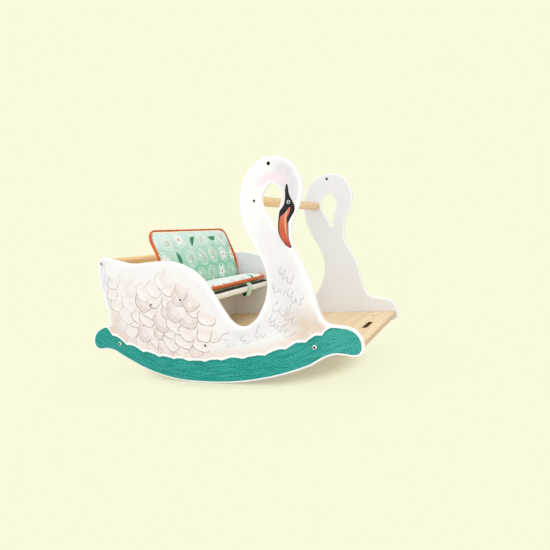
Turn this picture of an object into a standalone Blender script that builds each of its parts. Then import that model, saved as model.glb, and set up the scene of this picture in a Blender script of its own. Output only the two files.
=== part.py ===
"""Rocking swan for a small child: two swan-shaped plywood sides joined by boards and dowels.

Metres, +X toward the beak, +Y to the rider's left, +Z up. The origin is on the floor, below the middle
of the toy. Side panels, boards and dowels are bolted together, and a padded mat lies on the seat.
"""

import math

import bmesh
import bpy
from mathutils import Matrix, Vector

# Overall sizes
INNER_WIDTH = 0.445
PANEL_THICKNESS = 0.015
BOARD_THICKNESS = 0.015
DOWEL_DIAMETER = 0.025
DOWEL_END_ROUND = 0.001
EDGE_ROUND = 0.004
BOARD_EDGE_ROUND = 0.0015
GAP = 0.0003

# Rocker: one arc in front of its lowest point, which lies below the toy's weight, and a tighter one behind
ROCKER_LOW_X = -0.038
ROCKER_RADIUS_FRONT = 0.800
ROCKER_RADIUS_REAR = 0.480
ROCKER_STEP = 0.036
ROCKER_FRONT_STEPS = 9
ROCKER_REAR_STEPS = 7

# Places on the swan's outline that its curves are drawn round, and the unit of the offsets from them
OUTLINE_UNIT = 0.001
TOE_REACH = 0.404
TOE_FRONT_Z = 0.107
TOE_REAR_Z = 0.109
TAIL_X = -0.342
TAIL_Z = 0.335
WING_X = -0.140
WING_Z = 0.331
LEG_X = 0.100
LEG_Z = 0.154
HANDLE_X = 0.159
HANDLE_Z = 0.462
HEAD_SOCKET_AHEAD = 0.044
HEAD_SOCKET_ABOVE = 0.084

# Boards
FLOOR_SETBACK = 0.007
FLOOR_TOP_Z = 0.1098
FLOOR_REAR_BOLT = 0.091
FLOOR_MIDDLE_BOLT_X = -0.018
FLOOR_FRONT_BOLT = 0.112
HAND_SLOT_X = 0.358
HAND_SLOT_LENGTH = 0.088
HAND_SLOT_WIDTH = 0.014
PEG_HOLE_X = 0.340
PEG_HOLE_Y = 0.150
PEG_HOLE_DIAMETER = 0.008
SUPPORT_X = -0.181
SUPPORT_TOP_Z = 0.269
SUPPORT_BOLT_Z = 0.213
SEAT_TOP_Z = 0.2325
SEAT_FRONT_X = -0.070
SEAT_BOLT_SETBACK = 0.013
BACKREST_LEAN = math.radians(15.5)
BACKREST_FOOT_X = -0.163
BACKREST_THICKNESS = 0.012
BACKREST_HEIGHT = 0.165
BACKREST_WIDTH = 0.336

# Front rail, its sleeve and the strap that hangs on it
RAIL_X = -0.0515
RAIL_Z = 0.217
RAIL_SOCKET_DEPTH = 0.008
SLEEVE_THICKNESS = 0.0017
SLEEVE_END_GAP = 0.006
STRAP_Y = 0.083
STRAP_WIDTH = 0.030
STRAP_THICKNESS = 0.0014
STRAP_SLACK = 0.0004
STRAP_DROP = 0.028
STRAP_FOOT_RADIUS = 0.008
SNAP_DIAMETER = 0.009
SNAP_HOLE_RADIUS = 0.0015
SNAP_CAP_HEIGHT = 0.0024
SNAP_CAP_ROUND = 0.001
SNAP_STUD_HEIGHT = 0.002
SNAP_FLANGE_HEIGHT = 0.0008

# Padded mat: a seat half and a back half, with piping round the outside
PAD_SIDE_GAP = 0.0105
PAD_SEAM_HEIGHT = 0.003
PAD_EDGE_WIDTH = 0.026
PAD_DRAW_IN = 0.003
SEAT_PAD_REAR_X = -0.135
SEAT_PAD_FRONT_X = -0.042
SEAT_PAD_THICKNESS = 0.021
SEAT_PAD_CROWN = 0.004
SEAT_PAD_SEAM = 0.0085
SEAT_PAD_CORNER = 0.022
BACK_PAD_LIFT = 0.002
BACK_PAD_HEIGHT = 0.178
BACK_PAD_THICKNESS = 0.020
BACK_PAD_CROWN = 0.005
BACK_PAD_SEAM = 0.0115
BACK_PAD_CREASE_SEAM = 0.002
BACK_PAD_SEAM_BOW = 0.0125
BACK_PAD_CORNER = 0.030
PIPING_DIAMETER = 0.0048

# Fasteners
BOLT_DIAMETER = 0.006
BOLT_LENGTH = 0.045
BOLT_HEAD_DIAMETER = 0.0115
BOLT_HEAD_HEIGHT = 0.0024
HEX_WIDTH = 0.005
HEX_DEPTH = 0.0018
NUT_DIAMETER = 0.010
NUT_LENGTH = 0.012
NUT_SETBACK = 0.025
INSERT_DIAMETER = 0.009
INSERT_LENGTH = 0.014
BOLT_CLEARANCE = 0.0004
BOLT_TIP = 0.001
BORE_PAST_TIP = 0.002
RING_CHAMFER = 0.0005
SCREW_DIAMETER = 0.004
SCREW_HEAD_DIAMETER = 0.0085
SCREW_HEAD_HEIGHT = 0.0025
SCREW_LENGTH = 0.028
SCREW_TIP = 0.004
SCREW_BELOW_TOP = 0.009
SCREW_SPREAD = 0.130

HALF_INNER = INNER_WIDTH / 2
DOWEL_RADIUS = DOWEL_DIAMETER / 2
BOLT_HOLE_RADIUS = BOLT_DIAMETER / 2 + BOLT_CLEARANCE
SLEEVE_RADIUS = DOWEL_RADIUS + GAP + SLEEVE_THICKNESS
STRAP_INNER_RADIUS = SLEEVE_RADIUS + GAP + STRAP_SLACK
BOARD_WIDTH = INNER_WIDTH - 2 * GAP
PAD_WIDTH = INNER_WIDTH - 2 * PAD_SIDE_GAP
SEAT_SEAMS = (SEAT_PAD_SEAM, SEAT_PAD_SEAM, 0)
BACK_SEAMS = (BACK_PAD_SEAM, BACK_PAD_CREASE_SEAM, BACK_PAD_SEAM_BOW)
HALF_FLOOR = TOE_REACH - FLOOR_SETBACK
FLOOR_BOLT_X = (FLOOR_REAR_BOLT - HALF_FLOOR, FLOOR_MIDDLE_BOLT_X, HALF_FLOOR - FLOOR_FRONT_BOLT)
FLOOR_MIDDLE_Z = FLOOR_TOP_Z - BOARD_THICKNESS / 2
SEAT_MIDDLE_Z = SEAT_TOP_Z - BOARD_THICKNESS / 2
SEAT_BOLT_X = SEAT_FRONT_X - SEAT_BOLT_SETBACK
SCREW_Z = SUPPORT_TOP_Z - SCREW_BELOW_TOP
HEAD_SOCKET_X = HANDLE_X + HEAD_SOCKET_AHEAD
HEAD_SOCKET_Z = HANDLE_Z + HEAD_SOCKET_ABOVE

ROUND_SIDES = 28
HOLE_SIDES = 16
SMALL_SIDES = 12
PAD_ROWS = 7
PAD_COLUMNS = 14


def collection(name):
    """A new collection in the scene."""
    made = bpy.data.collections.new(name)
    bpy.context.scene.collection.children.link(made)
    return made


def material(name, colour, roughness, metallic=0.0):
    """A Principled BSDF material with one colour."""
    made = bpy.data.materials.new(name)
    made.use_nodes = True
    shader = made.node_tree.nodes["Principled BSDF"]
    shader.inputs["Base Color"].default_value = (*colour, 1.0)
    shader.inputs["Roughness"].default_value = roughness
    shader.inputs["Metallic"].default_value = metallic
    made.diffuse_color = (*colour, 1.0)
    return made


def place(name, data, look=None, location=(0, 0, 0), rotation=(0, 0, 0)):
    """Put mesh or curve data into the swan's collection as one named piece."""
    piece = bpy.data.objects.new(name, data)
    piece.location = location
    piece.rotation_euler = rotation
    SWAN.objects.link(piece)
    if look:
        data.materials.clear()
        data.materials.append(look)
    return piece


def mesh_from(bm, name, smooth_angle=None):
    """Turn a bmesh into a mesh, shaded smooth below an angle if one is given."""
    mesh = bpy.data.meshes.new(name)
    bmesh.ops.recalc_face_normals(bm, faces=bm.faces)
    bm.to_mesh(mesh)
    bm.free()
    if smooth_angle:
        mesh.shade_smooth()
        mesh.set_sharp_from_angle(angle=smooth_angle)
    return mesh


def evaluated_mesh(piece, name):
    """The mesh that an object's modifiers or curve settings make; the object is removed."""
    bpy.context.view_layer.update()
    graph = bpy.context.evaluated_depsgraph_get()
    mesh = bpy.data.meshes.new_from_object(piece.evaluated_get(graph))
    mesh.name = name
    matrix = piece.matrix_world.copy()
    bpy.data.objects.remove(piece)
    bm = bmesh.new()
    bm.from_mesh(mesh)
    bmesh.ops.remove_doubles(bm, verts=bm.verts, dist=0.00001)
    bmesh.ops.transform(bm, matrix=matrix, verts=bm.verts)
    bmesh.ops.recalc_face_normals(bm, faces=bm.faces)
    bm.to_mesh(mesh)
    bm.free()
    return mesh


def add_cylinder(bm, radius, depth, centre, axis, sides=SMALL_SIDES, end_radius=None):
    """Add a closed cylinder, or a cone with an end radius, along X, Y or Z."""
    turns = {
        "X": Matrix.Rotation(math.pi / 2, 4, "Y"),
        "Y": Matrix.Rotation(-math.pi / 2, 4, "X"),
        "Z": Matrix.Identity(4),
    }
    bmesh.ops.create_cone(
        bm,
        cap_ends=True,
        segments=sides,
        radius1=radius,
        radius2=radius if end_radius is None else end_radius,
        depth=depth,
        matrix=Matrix.Translation(centre) @ turns[axis],
    )


def add_box(bm, low, high):
    """Add a closed box between two corners."""
    low = Vector(low)
    high = Vector(high)
    size = high - low
    matrix = Matrix.Translation((low + high) / 2) @ Matrix.Diagonal((*size, 1.0))
    bmesh.ops.create_cube(bm, size=1.0, matrix=matrix)


def cut(piece, bm, name):
    """Cut a bmesh of closed bodies out of a piece."""
    cutter = bpy.data.objects.new(name, mesh_from(bm, name))
    cutter.hide_render = True
    cutter.display_type = "WIRE"
    CUTTERS.objects.link(cutter)
    boolean = piece.modifiers.new(name, "BOOLEAN")
    boolean.operation = "DIFFERENCE"
    boolean.solver = "EXACT"
    boolean.object = cutter


def round_edges(piece, width, segments=1):
    """Round a piece's sharp edges with a Bevel modifier."""
    bevel = piece.modifiers.new("rounded edges", "BEVEL")
    bevel.width = width
    bevel.segments = segments
    bevel.limit_method = "ANGLE"


def rocker_knots():
    """Straight-sided knots along the rocker's underside, from the front arc back through the rear one."""
    knots = []
    for step in range(ROCKER_FRONT_STEPS - 1, -ROCKER_REAR_STEPS - 1, -1):
        away = (step + 0.5) * ROCKER_STEP
        radius = ROCKER_RADIUS_FRONT if away > 0 else ROCKER_RADIUS_REAR
        run = abs(away) - ROCKER_STEP / 2
        knots.append((ROCKER_LOW_X + away, radius - math.sqrt(radius**2 - run**2)))
    return knots


def round_anchor(anchor_x, anchor_z, offsets):
    """Outline knots in real sizes, given in outline units from a place on the swan."""
    return [(anchor_x + dx * OUTLINE_UNIT, anchor_z + dz * OUTLINE_UNIT) for dx, dz in offsets]


def swan_outline():
    """Knots of the swan's outline, clockwise from the tail tip, as the rider's right side shows it."""
    tail_top = [(-4, 17), (32, 11), (71, 1)]
    wing = [(-96, -2), (-40, -1), (0, 0), (40, -4), (90, -24), (127, -53)]
    leg_cut = [(-76, 70), (-55, 36), (-33, 8), (-9, -3), (29, 12), (50, 38), (68, 76), (73, 118), (65, 158)]
    neck_back = [(-16, -104), (-35, -62), (-43, -7), (-34, 39), (-12, 76)]
    head = [(25, 97), (62, 100), (97, 84), (118, 52), (123, 14), (112, -23)]
    throat = [(95, -54), (88, -87), (91, -119), (106, -152)]
    breast = [(-121, 160), (-109, 110), (-100, 76), (-86, 54)]
    front_toe = [(-58, 47), (-30, 42), (-10, 28), (0, 0), (-8, -22), (-25, -27), (-48, -24), (-74, -24)]
    rear_toe = [(101, -43), (78, -31), (48, -24.5), (20, -27), (4, -17), (0, 3), (12, 27), (32, 40), (50, 46)]
    tail_back = [(1, -178), (5, -150), (-3, -118), (-13, -80), (-18, -34), (-16, -2)]
    return (
        round_anchor(TAIL_X, TAIL_Z, tail_top)
        + round_anchor(WING_X, WING_Z, wing)
        + round_anchor(LEG_X, LEG_Z, leg_cut)
        + round_anchor(HANDLE_X, HANDLE_Z, neck_back + head + throat)
        + round_anchor(TOE_REACH, TOE_FRONT_Z, breast + front_toe)
        + rocker_knots()
        + round_anchor(-TOE_REACH, TOE_REAR_Z, rear_toe)
        + round_anchor(TAIL_X, TAIL_Z, tail_back)
    )


def neck_hole():
    """Knots of the teardrop hole inside the bend of the neck."""
    drop = [(48, 37), (30, 27), (19, 9), (19, -11), (28, -32), (40, -52), (50, -71)]
    beak_side = [(53, -57), (56, -41), (61, -25), (67, -10), (69, 4), (63, 24)]
    return round_anchor(HANDLE_X, HANDLE_Z, drop + beak_side)


def add_smooth_loop(curve, knots, straight=()):
    """Add a closed Bezier spline through the knots, smooth except at those named as straight."""
    spline = curve.splines.new("BEZIER")
    spline.bezier_points.add(len(knots) - 1)
    for point, knot in zip(spline.bezier_points, knots):
        point.co = (*knot, 0)
        handle = "VECTOR" if knot in straight else "AUTO"
        point.handle_left_type = handle
        point.handle_right_type = handle
    spline.use_cyclic_u = True


def panel_mesh():
    """Swan panel standing in the XZ plane, with its middle at Y = 0 and its long edges rounded."""
    curve = bpy.data.curves.new("swan outline", "CURVE")
    curve.dimensions = "2D"
    curve.fill_mode = "BOTH"
    curve.resolution_u = 2
    curve.render_resolution_u = 0
    curve.bevel_depth = EDGE_ROUND
    curve.bevel_resolution = 1
    curve.offset = -EDGE_ROUND
    curve.extrude = PANEL_THICKNESS / 2 - EDGE_ROUND
    add_smooth_loop(curve, swan_outline(), rocker_knots())
    add_smooth_loop(curve, neck_hole())
    outline = bpy.data.objects.new("swan outline", curve)
    outline.rotation_euler = (math.pi / 2, 0, 0)
    SWAN.objects.link(outline)
    mesh = evaluated_mesh(outline, "swan_panel")
    mesh.shade_smooth()
    mesh.set_sharp_from_angle(angle=math.radians(35))
    return mesh


def bolt_places():
    """Where bolts go through each panel: a name, X and Z."""
    places = [
        ("handle", HANDLE_X, HANDLE_Z),
        ("tail", TAIL_X, TAIL_Z),
        ("support", SUPPORT_X, SUPPORT_BOLT_Z),
        ("seat", SEAT_BOLT_X, SEAT_MIDDLE_Z),
    ]
    for number, x in enumerate(FLOOR_BOLT_X, 1):
        places.append((f"floor_{number}", x, FLOOR_MIDDLE_Z))
    return places


def make_panel(name, side, mesh, look):
    """One side panel with its bolt holes, head socket hole and blind rail socket."""
    middle = side * (HALF_INNER + PANEL_THICKNESS / 2)
    panel = place(name, mesh.copy(), look, location=(0, middle, 0))
    holes = bmesh.new()
    through = PANEL_THICKNESS * 2
    for _, x, z in bolt_places():
        add_cylinder(holes, BOLT_HOLE_RADIUS, through, (x, middle, z), "Y")
    socket_radius = INSERT_DIAMETER / 2 + GAP
    add_cylinder(holes, socket_radius, through, (HEAD_SOCKET_X, middle, HEAD_SOCKET_Z), "Y", HOLE_SIDES)
    rail_hole = DOWEL_RADIUS + GAP
    rail_depth = RAIL_SOCKET_DEPTH + BOARD_THICKNESS
    rail_y = side * (HALF_INNER + RAIL_SOCKET_DEPTH - rail_depth / 2)
    add_cylinder(holes, rail_hole, rail_depth, (RAIL_X, rail_y, RAIL_Z), "Y", ROUND_SIDES)
    cut(panel, holes, name + "_holes")


def make_board(name, low, high, look):
    """A flat board with slightly rounded edges."""
    bm = bmesh.new()
    add_box(bm, low, high)
    board = place(name, mesh_from(bm, name), look)
    round_edges(board, BOARD_EDGE_ROUND)
    return board


def add_bolt_bores(bm, x, z):
    """Bores for a bolt in both ends of a board or dowel, a little longer than the bolt needs."""
    length = BOLT_LENGTH - PANEL_THICKNESS + BORE_PAST_TIP
    for side in (-1, 1):
        add_cylinder(bm, BOLT_HOLE_RADIUS, 2 * length, (x, side * HALF_INNER, z), "Y")


def add_nut_bore(bm, x, side, z, axis):
    """A blind bore for a barrel nut, open below a flat board or behind an upright one."""
    radius = NUT_DIAMETER / 2 + GAP
    reach = NUT_LENGTH / 2 + GAP
    depth = reach + BOARD_THICKNESS
    shift = reach - depth / 2
    centre = (x, side * (HALF_INNER - NUT_SETBACK), z + shift)
    if axis == "X":
        centre = (x + shift, side * (HALF_INNER - NUT_SETBACK), z)
    add_cylinder(bm, radius, depth, centre, axis)


def make_floor_board(look):
    """Floor board with bolt and nut bores, a hand slot and two peg holes near its front edge."""
    low = (-HALF_FLOOR, -BOARD_WIDTH / 2, FLOOR_TOP_Z - BOARD_THICKNESS)
    board = make_board("floor_board", low, (HALF_FLOOR, BOARD_WIDTH / 2, FLOOR_TOP_Z), look)
    bores = bmesh.new()
    for x in FLOOR_BOLT_X:
        add_bolt_bores(bores, x, FLOOR_MIDDLE_Z)
    cut(board, bores, "floor_bolt_bores")
    nuts = bmesh.new()
    for x in FLOOR_BOLT_X:
        for side in (-1, 1):
            add_nut_bore(nuts, x, side, FLOOR_MIDDLE_Z, "Z")
    cut(board, nuts, "floor_nut_bores")
    openings = bmesh.new()
    add_slot(openings, HAND_SLOT_X, HAND_SLOT_LENGTH, HAND_SLOT_WIDTH, FLOOR_MIDDLE_Z)
    for side in (-1, 1):
        peg = (PEG_HOLE_X, side * PEG_HOLE_Y, FLOOR_MIDDLE_Z)
        add_cylinder(openings, PEG_HOLE_DIAMETER / 2, 2 * BOARD_THICKNESS, peg, "Z", HOLE_SIDES)
    cut(board, openings, "floor_openings")


def add_slot(bm, x, length, width, z):
    """A vertical slot cutter with round ends, long along Y."""
    sides = 24
    radius = width / 2
    run = (length - width) / 2
    ring = []
    for number in range(sides + 2):
        end = 1 if number <= sides / 2 else -1
        turn = (number if end == 1 else number - 1) * 2 * math.pi / sides
        ring.append((x + radius * math.cos(turn), end * run + radius * math.sin(turn)))
    foot = [bm.verts.new((px, py, z - BOARD_THICKNESS)) for px, py in ring]
    face = bm.faces.new(foot)
    made = bmesh.ops.extrude_face_region(bm, geom=[face])
    risen = [item for item in made["geom"] if isinstance(item, bmesh.types.BMVert)]
    bmesh.ops.translate(bm, vec=(0, 0, 2 * BOARD_THICKNESS), verts=risen)


def make_support_board(look):
    """Upright cross board that stands on the floor board and carries the seat and backrest."""
    half = BOARD_THICKNESS / 2
    low = (SUPPORT_X - half, -BOARD_WIDTH / 2, FLOOR_TOP_Z + GAP)
    board = make_board("seat_support_board", low, (SUPPORT_X + half, BOARD_WIDTH / 2, SUPPORT_TOP_Z), look)
    bores = bmesh.new()
    add_bolt_bores(bores, SUPPORT_X, SUPPORT_BOLT_Z)
    for y in screw_rows():
        add_cylinder(bores, SCREW_DIAMETER / 2 + GAP, 2 * BOARD_THICKNESS, (SUPPORT_X, y, SCREW_Z), "X")
    cut(board, bores, "support_bolt_bores")
    nuts = bmesh.new()
    for side in (-1, 1):
        add_nut_bore(nuts, SUPPORT_X, side, SUPPORT_BOLT_Z, "X")
    for y in screw_rows():
        add_countersink(nuts, y)
    cut(board, nuts, "support_nut_bores")


def screw_rows():
    """Across places of the screws that hold the backrest."""
    return (-SCREW_SPREAD, 0.0, SCREW_SPREAD)


def add_countersink(bm, y):
    """A cone for a countersunk head in the back of the cross board."""
    depth = SCREW_HEAD_HEIGHT + 2 * GAP
    outer = SCREW_HEAD_DIAMETER / 2 + 2 * GAP
    inner = SCREW_DIAMETER / 2 + GAP
    centre = (SUPPORT_X - BOARD_THICKNESS / 2 + depth / 2 - GAP, y, SCREW_Z)
    add_cylinder(bm, outer, depth, centre, "X", SMALL_SIDES, inner)


def make_seat_board(look):
    """Seat board in front of the cross board, bolted to both panels near its front edge."""
    rear = SUPPORT_X + BOARD_THICKNESS / 2 + GAP
    low = (rear, -BOARD_WIDTH / 2, SEAT_TOP_Z - BOARD_THICKNESS)
    board = make_board("seat_board", low, (SEAT_FRONT_X, BOARD_WIDTH / 2, SEAT_TOP_Z), look)
    bores = bmesh.new()
    add_bolt_bores(bores, SEAT_BOLT_X, SEAT_MIDDLE_Z)
    cut(board, bores, "seat_bolt_bores")
    nuts = bmesh.new()
    for side in (-1, 1):
        add_nut_bore(nuts, SEAT_BOLT_X, side, SEAT_MIDDLE_Z, "Z")
    cut(board, nuts, "seat_nut_bores")


def backrest_matrix():
    """Frame of the leaning backrest: local X forward from its front face, Z up along it."""
    foot = Vector((BACKREST_FOOT_X, 0, SEAT_TOP_Z + GAP))
    lean = Matrix.Rotation(-BACKREST_LEAN, 4, "Y")
    return Matrix.Translation(foot) @ lean @ Matrix.Translation((BACKREST_THICKNESS, 0, 0))


def make_backrest_board(look):
    """Leaning board behind the back half of the mat."""
    bm = bmesh.new()
    half = BACKREST_WIDTH / 2
    add_box(bm, (-BACKREST_THICKNESS, -half, 0), (0, half, BACKREST_HEIGHT))
    bmesh.ops.transform(bm, matrix=backrest_matrix(), verts=bm.verts)
    board = place("backrest_board", mesh_from(bm, "backrest_board"), look)
    round_edges(board, BOARD_EDGE_ROUND)
    bores = bmesh.new()
    start = SUPPORT_X - BOARD_THICKNESS / 2
    reach = SCREW_LENGTH + GAP
    for y in screw_rows():
        centre = (start + reach / 2, y, SCREW_Z)
        add_cylinder(bores, SCREW_DIAMETER / 2 + GAP, reach, centre, "X")
    cut(board, bores, "backrest_screw_bores")


def make_dowel(name, x, z, length, look, bored):
    """A round dowel across the toy, with bores for threaded inserts if it is bolted."""
    bm = bmesh.new()
    add_cylinder(bm, DOWEL_RADIUS, length, (0, 0, 0), "Y", ROUND_SIDES)
    dowel = place(name, mesh_from(bm, name, math.radians(35)), look, location=(x, 0, z))
    round_edges(dowel, DOWEL_END_ROUND)
    if not bored:
        return
    bores = bmesh.new()
    add_bolt_bores(bores, x, z)
    cut(dowel, bores, name + "_bolt_bores")
    seats = bmesh.new()
    for side in (-1, 1):
        reach = 2 * (INSERT_LENGTH + GAP)
        add_cylinder(seats, INSERT_DIAMETER / 2 + GAP, reach, (x, side * HALF_INNER, z), "Y", HOLE_SIDES)
    cut(dowel, seats, name + "_insert_bores")


def turned(name, profile, steps, smooth_angle):
    """A mesh turned round local Z from (radius, height) points that run down its outer side."""
    mesh = bpy.data.meshes.new(name)
    points = [(radius, 0, height) for radius, height in profile]
    edges = [(number, number + 1) for number in range(len(points) - 1)]
    mesh.from_pydata(points, edges, [])
    piece = bpy.data.objects.new(name, mesh)
    SWAN.objects.link(piece)
    screw = piece.modifiers.new("turned", "SCREW")
    screw.steps = steps
    screw.render_steps = steps
    screw.use_merge_vertices = True
    screw.merge_threshold = 0.00001
    made = evaluated_mesh(piece, name)
    made.shade_smooth()
    made.set_sharp_from_angle(angle=smooth_angle)
    return made


def turned_ring(name, inner, outer, length, steps):
    """A plain tube round local Z, centred on its middle."""
    half = length / 2
    chamfer = min(RING_CHAMFER, (outer - inner) / 3)
    profile = [
        (inner, half),
        (outer - chamfer, half),
        (outer, half - chamfer),
        (outer, chamfer - half),
        (outer - chamfer, -half),
        (inner, -half),
        (inner, half),
    ]
    return turned(name, profile, steps, math.radians(35))


def bolt_mesh():
    """Connector bolt along local Z: a low domed head with a hex socket above Z = 0, the shank below."""
    head = BOLT_HEAD_DIAMETER / 2
    shank = BOLT_DIAMETER / 2
    seat = GAP
    profile = [
        (0, seat + BOLT_HEAD_HEIGHT),
        (head * 0.65, seat + BOLT_HEAD_HEIGHT),
        (head, seat + BOLT_HEAD_HEIGHT * 0.4),
        (head, seat),
        (shank, seat),
        (shank, BOLT_TIP - BOLT_LENGTH),
        (0, -BOLT_LENGTH),
    ]
    blank = place("bolt blank", turned("bolt", profile, SMALL_SIDES, math.radians(40)))
    socket = bmesh.new()
    across_corners = HEX_WIDTH / math.cos(math.pi / 6)
    top = seat + BOLT_HEAD_HEIGHT
    add_cylinder(socket, across_corners / 2, 2 * HEX_DEPTH, (0, 0, top), "Z", 6)
    cut(blank, socket, "bolt_socket")
    return evaluated_mesh(blank, "bolt")


def make_bolts(look):
    """A bolt in every hole of both panels, its head against the outer face."""
    mesh = bolt_mesh()
    outer = HALF_INNER + PANEL_THICKNESS
    for side, side_name in ((-1, "right"), (1, "left")):
        turn = (-side * math.pi / 2, 0, 0)
        for what, x, z in bolt_places():
            name = f"{what}_bolt_{side_name}"
            place(name, mesh, look, location=(x, side * outer, z), rotation=turn)


def nut_mesh():
    """Barrel nut along local Z with a cross bore for the bolt along local Y."""
    bm = bmesh.new()
    add_cylinder(bm, NUT_DIAMETER / 2, NUT_LENGTH, (0, 0, 0), "Z")
    blank = place("nut blank", mesh_from(bm, "nut", math.radians(35)))
    bore = bmesh.new()
    add_cylinder(bore, BOLT_HOLE_RADIUS - GAP / 3, 2 * NUT_DIAMETER, (0, 0, 0), "Y")
    cut(blank, bore, "nut_bore")
    return evaluated_mesh(blank, "barrel_nut")


def make_nuts(look):
    """A barrel nut for each bolt that ends in a board."""
    mesh = nut_mesh()
    upright = (0, math.pi / 2, 0)
    for side, side_name in ((-1, "right"), (1, "left")):
        y = side * (HALF_INNER - NUT_SETBACK)
        support = (SUPPORT_X, y, SUPPORT_BOLT_Z)
        place(f"support_nut_{side_name}", mesh, look, location=support, rotation=upright)
        place(f"seat_nut_{side_name}", mesh, look, location=(SEAT_BOLT_X, y, SEAT_MIDDLE_Z))
        for number, x in enumerate(FLOOR_BOLT_X, 1):
            place(f"floor_{number}_nut_{side_name}", mesh, look, location=(x, y, FLOOR_MIDDLE_Z))


def make_inserts(look):
    """Threaded inserts in the ends of the bolted dowels and in the tops of the heads."""
    bore = BOLT_HOLE_RADIUS - GAP / 3
    mesh = turned_ring("insert", bore, INSERT_DIAMETER / 2, INSERT_LENGTH, HOLE_SIDES)
    across = (math.pi / 2, 0, 0)
    for side, side_name in ((-1, "right"), (1, "left")):
        y = side * (HALF_INNER - GAP - INSERT_LENGTH / 2)
        place(f"handle_insert_{side_name}", mesh, look, location=(HANDLE_X, y, HANDLE_Z), rotation=across)
        place(f"tail_insert_{side_name}", mesh, look, location=(TAIL_X, y, TAIL_Z), rotation=across)
        head_y = side * (HALF_INNER + PANEL_THICKNESS / 2)
        head = (HEAD_SOCKET_X, head_y, HEAD_SOCKET_Z)
        place(f"head_socket_{side_name}", mesh, look, location=head, rotation=across)


def make_backrest_screws(look):
    """Countersunk wood screws from the back of the cross board into the backrest board."""
    head = SCREW_HEAD_DIAMETER / 2
    shank = SCREW_DIAMETER / 2
    profile = [
        (0, -GAP),
        (head, -GAP),
        (shank, -GAP - SCREW_HEAD_HEIGHT),
        (shank, SCREW_TIP - SCREW_LENGTH),
        (0, -SCREW_LENGTH),
    ]
    mesh = turned("screw", profile, SMALL_SIDES, math.radians(30))
    rear = SUPPORT_X - BOARD_THICKNESS / 2
    for number, y in enumerate(screw_rows(), 1):
        turn = (0, -math.pi / 2, 0)
        place(f"backrest_screw_{number}", mesh, look, location=(rear, y, SCREW_Z), rotation=turn)


def make_sleeve(look):
    """Cloth sleeve on the front rail."""
    length = INNER_WIDTH - 2 * SLEEVE_END_GAP
    mesh = turned_ring("rail_sleeve", DOWEL_RADIUS + GAP, SLEEVE_RADIUS, length, ROUND_SIDES)
    place("rail_sleeve", mesh, look, location=(RAIL_X, 0, RAIL_Z), rotation=(math.pi / 2, 0, 0))


def strap_loop(radius, foot_radius):
    """Teardrop loop round the rail: half a circle above, straight sides and a small arc below."""
    arm = STRAP_DROP - STRAP_FOOT_RADIUS
    tilt = math.asin((radius - foot_radius) / arm)
    points = []
    upper = 20
    for step in range(upper + 1):
        turn = -tilt + step * (math.pi + 2 * tilt) / upper
        points.append((radius * math.cos(turn), radius * math.sin(turn)))
    lower = 10
    for step in range(lower + 1):
        turn = math.pi + tilt + step * (math.pi - 2 * tilt) / lower
        points.append((foot_radius * math.cos(turn), foot_radius * math.sin(turn) - arm))
    return points


def make_strap(look, metal):
    """Strap loop that hangs on the sleeve, and the press stud that closes it at the lowest point."""
    curve = bpy.data.curves.new("strap", "CURVE")
    curve.dimensions = "2D"
    curve.fill_mode = "BOTH"
    curve.extrude = STRAP_WIDTH / 2
    curve.render_resolution_u = 0
    loops = (
        (STRAP_INNER_RADIUS, STRAP_FOOT_RADIUS - STRAP_THICKNESS),
        (STRAP_INNER_RADIUS + STRAP_THICKNESS, STRAP_FOOT_RADIUS),
    )
    for radius, foot in loops:
        points = strap_loop(radius, foot)
        spline = curve.splines.new("POLY")
        spline.points.add(len(points) - 1)
        for point, (x, z) in zip(spline.points, points):
            point.co = (x, z, 0, 1)
        spline.use_cyclic_u = True
    blank = bpy.data.objects.new("strap blank", curve)
    blank.rotation_euler = (math.pi / 2, 0, 0)
    SWAN.objects.link(blank)
    mesh = evaluated_mesh(blank, "toy_strap")
    strap = place("toy_strap", mesh, look, location=(RAIL_X, STRAP_Y, RAIL_Z))
    hole = bmesh.new()
    foot_z = RAIL_Z - STRAP_DROP
    add_cylinder(hole, SNAP_HOLE_RADIUS, 4 * STRAP_THICKNESS, (RAIL_X, STRAP_Y, foot_z), "Z")
    cut(strap, hole, "strap_snap_hole")
    make_snap(foot_z, metal)


def make_snap(foot_z, look):
    """Two-part press stud through the strap: a domed cap below and a stud with its post above."""
    head = SNAP_DIAMETER / 2
    crown = head - SNAP_CAP_ROUND
    cap_profile = [
        (0, 0),
        (crown, 0),
        (head, -SNAP_CAP_HEIGHT * 0.25),
        (crown, -SNAP_CAP_HEIGHT * 0.75),
        (0, -SNAP_CAP_HEIGHT),
    ]
    cap = turned("strap_snap_cap", cap_profile, HOLE_SIDES, math.radians(40))
    place("strap_snap_cap", cap, look, location=(RAIL_X, STRAP_Y, foot_z - GAP))
    flange = head * 0.5
    bend = STRAP_FOOT_RADIUS - STRAP_THICKNESS
    rise = bend - math.sqrt(bend**2 - flange**2)
    base = STRAP_THICKNESS + rise + GAP
    post = SNAP_HOLE_RADIUS - GAP
    stud_profile = [
        (0, base + SNAP_STUD_HEIGHT),
        (head * 0.32, base + SNAP_STUD_HEIGHT),
        (head * 0.36, base + SNAP_FLANGE_HEIGHT),
        (flange, base + SNAP_FLANGE_HEIGHT),
        (flange, base),
        (post, base),
        (post, GAP / 2),
        (0, GAP / 2),
    ]
    stud = turned("strap_snap_stud", stud_profile, SMALL_SIDES, math.radians(40))
    place("strap_snap_stud", stud, look, location=(RAIL_X, STRAP_Y, foot_z))


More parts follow.
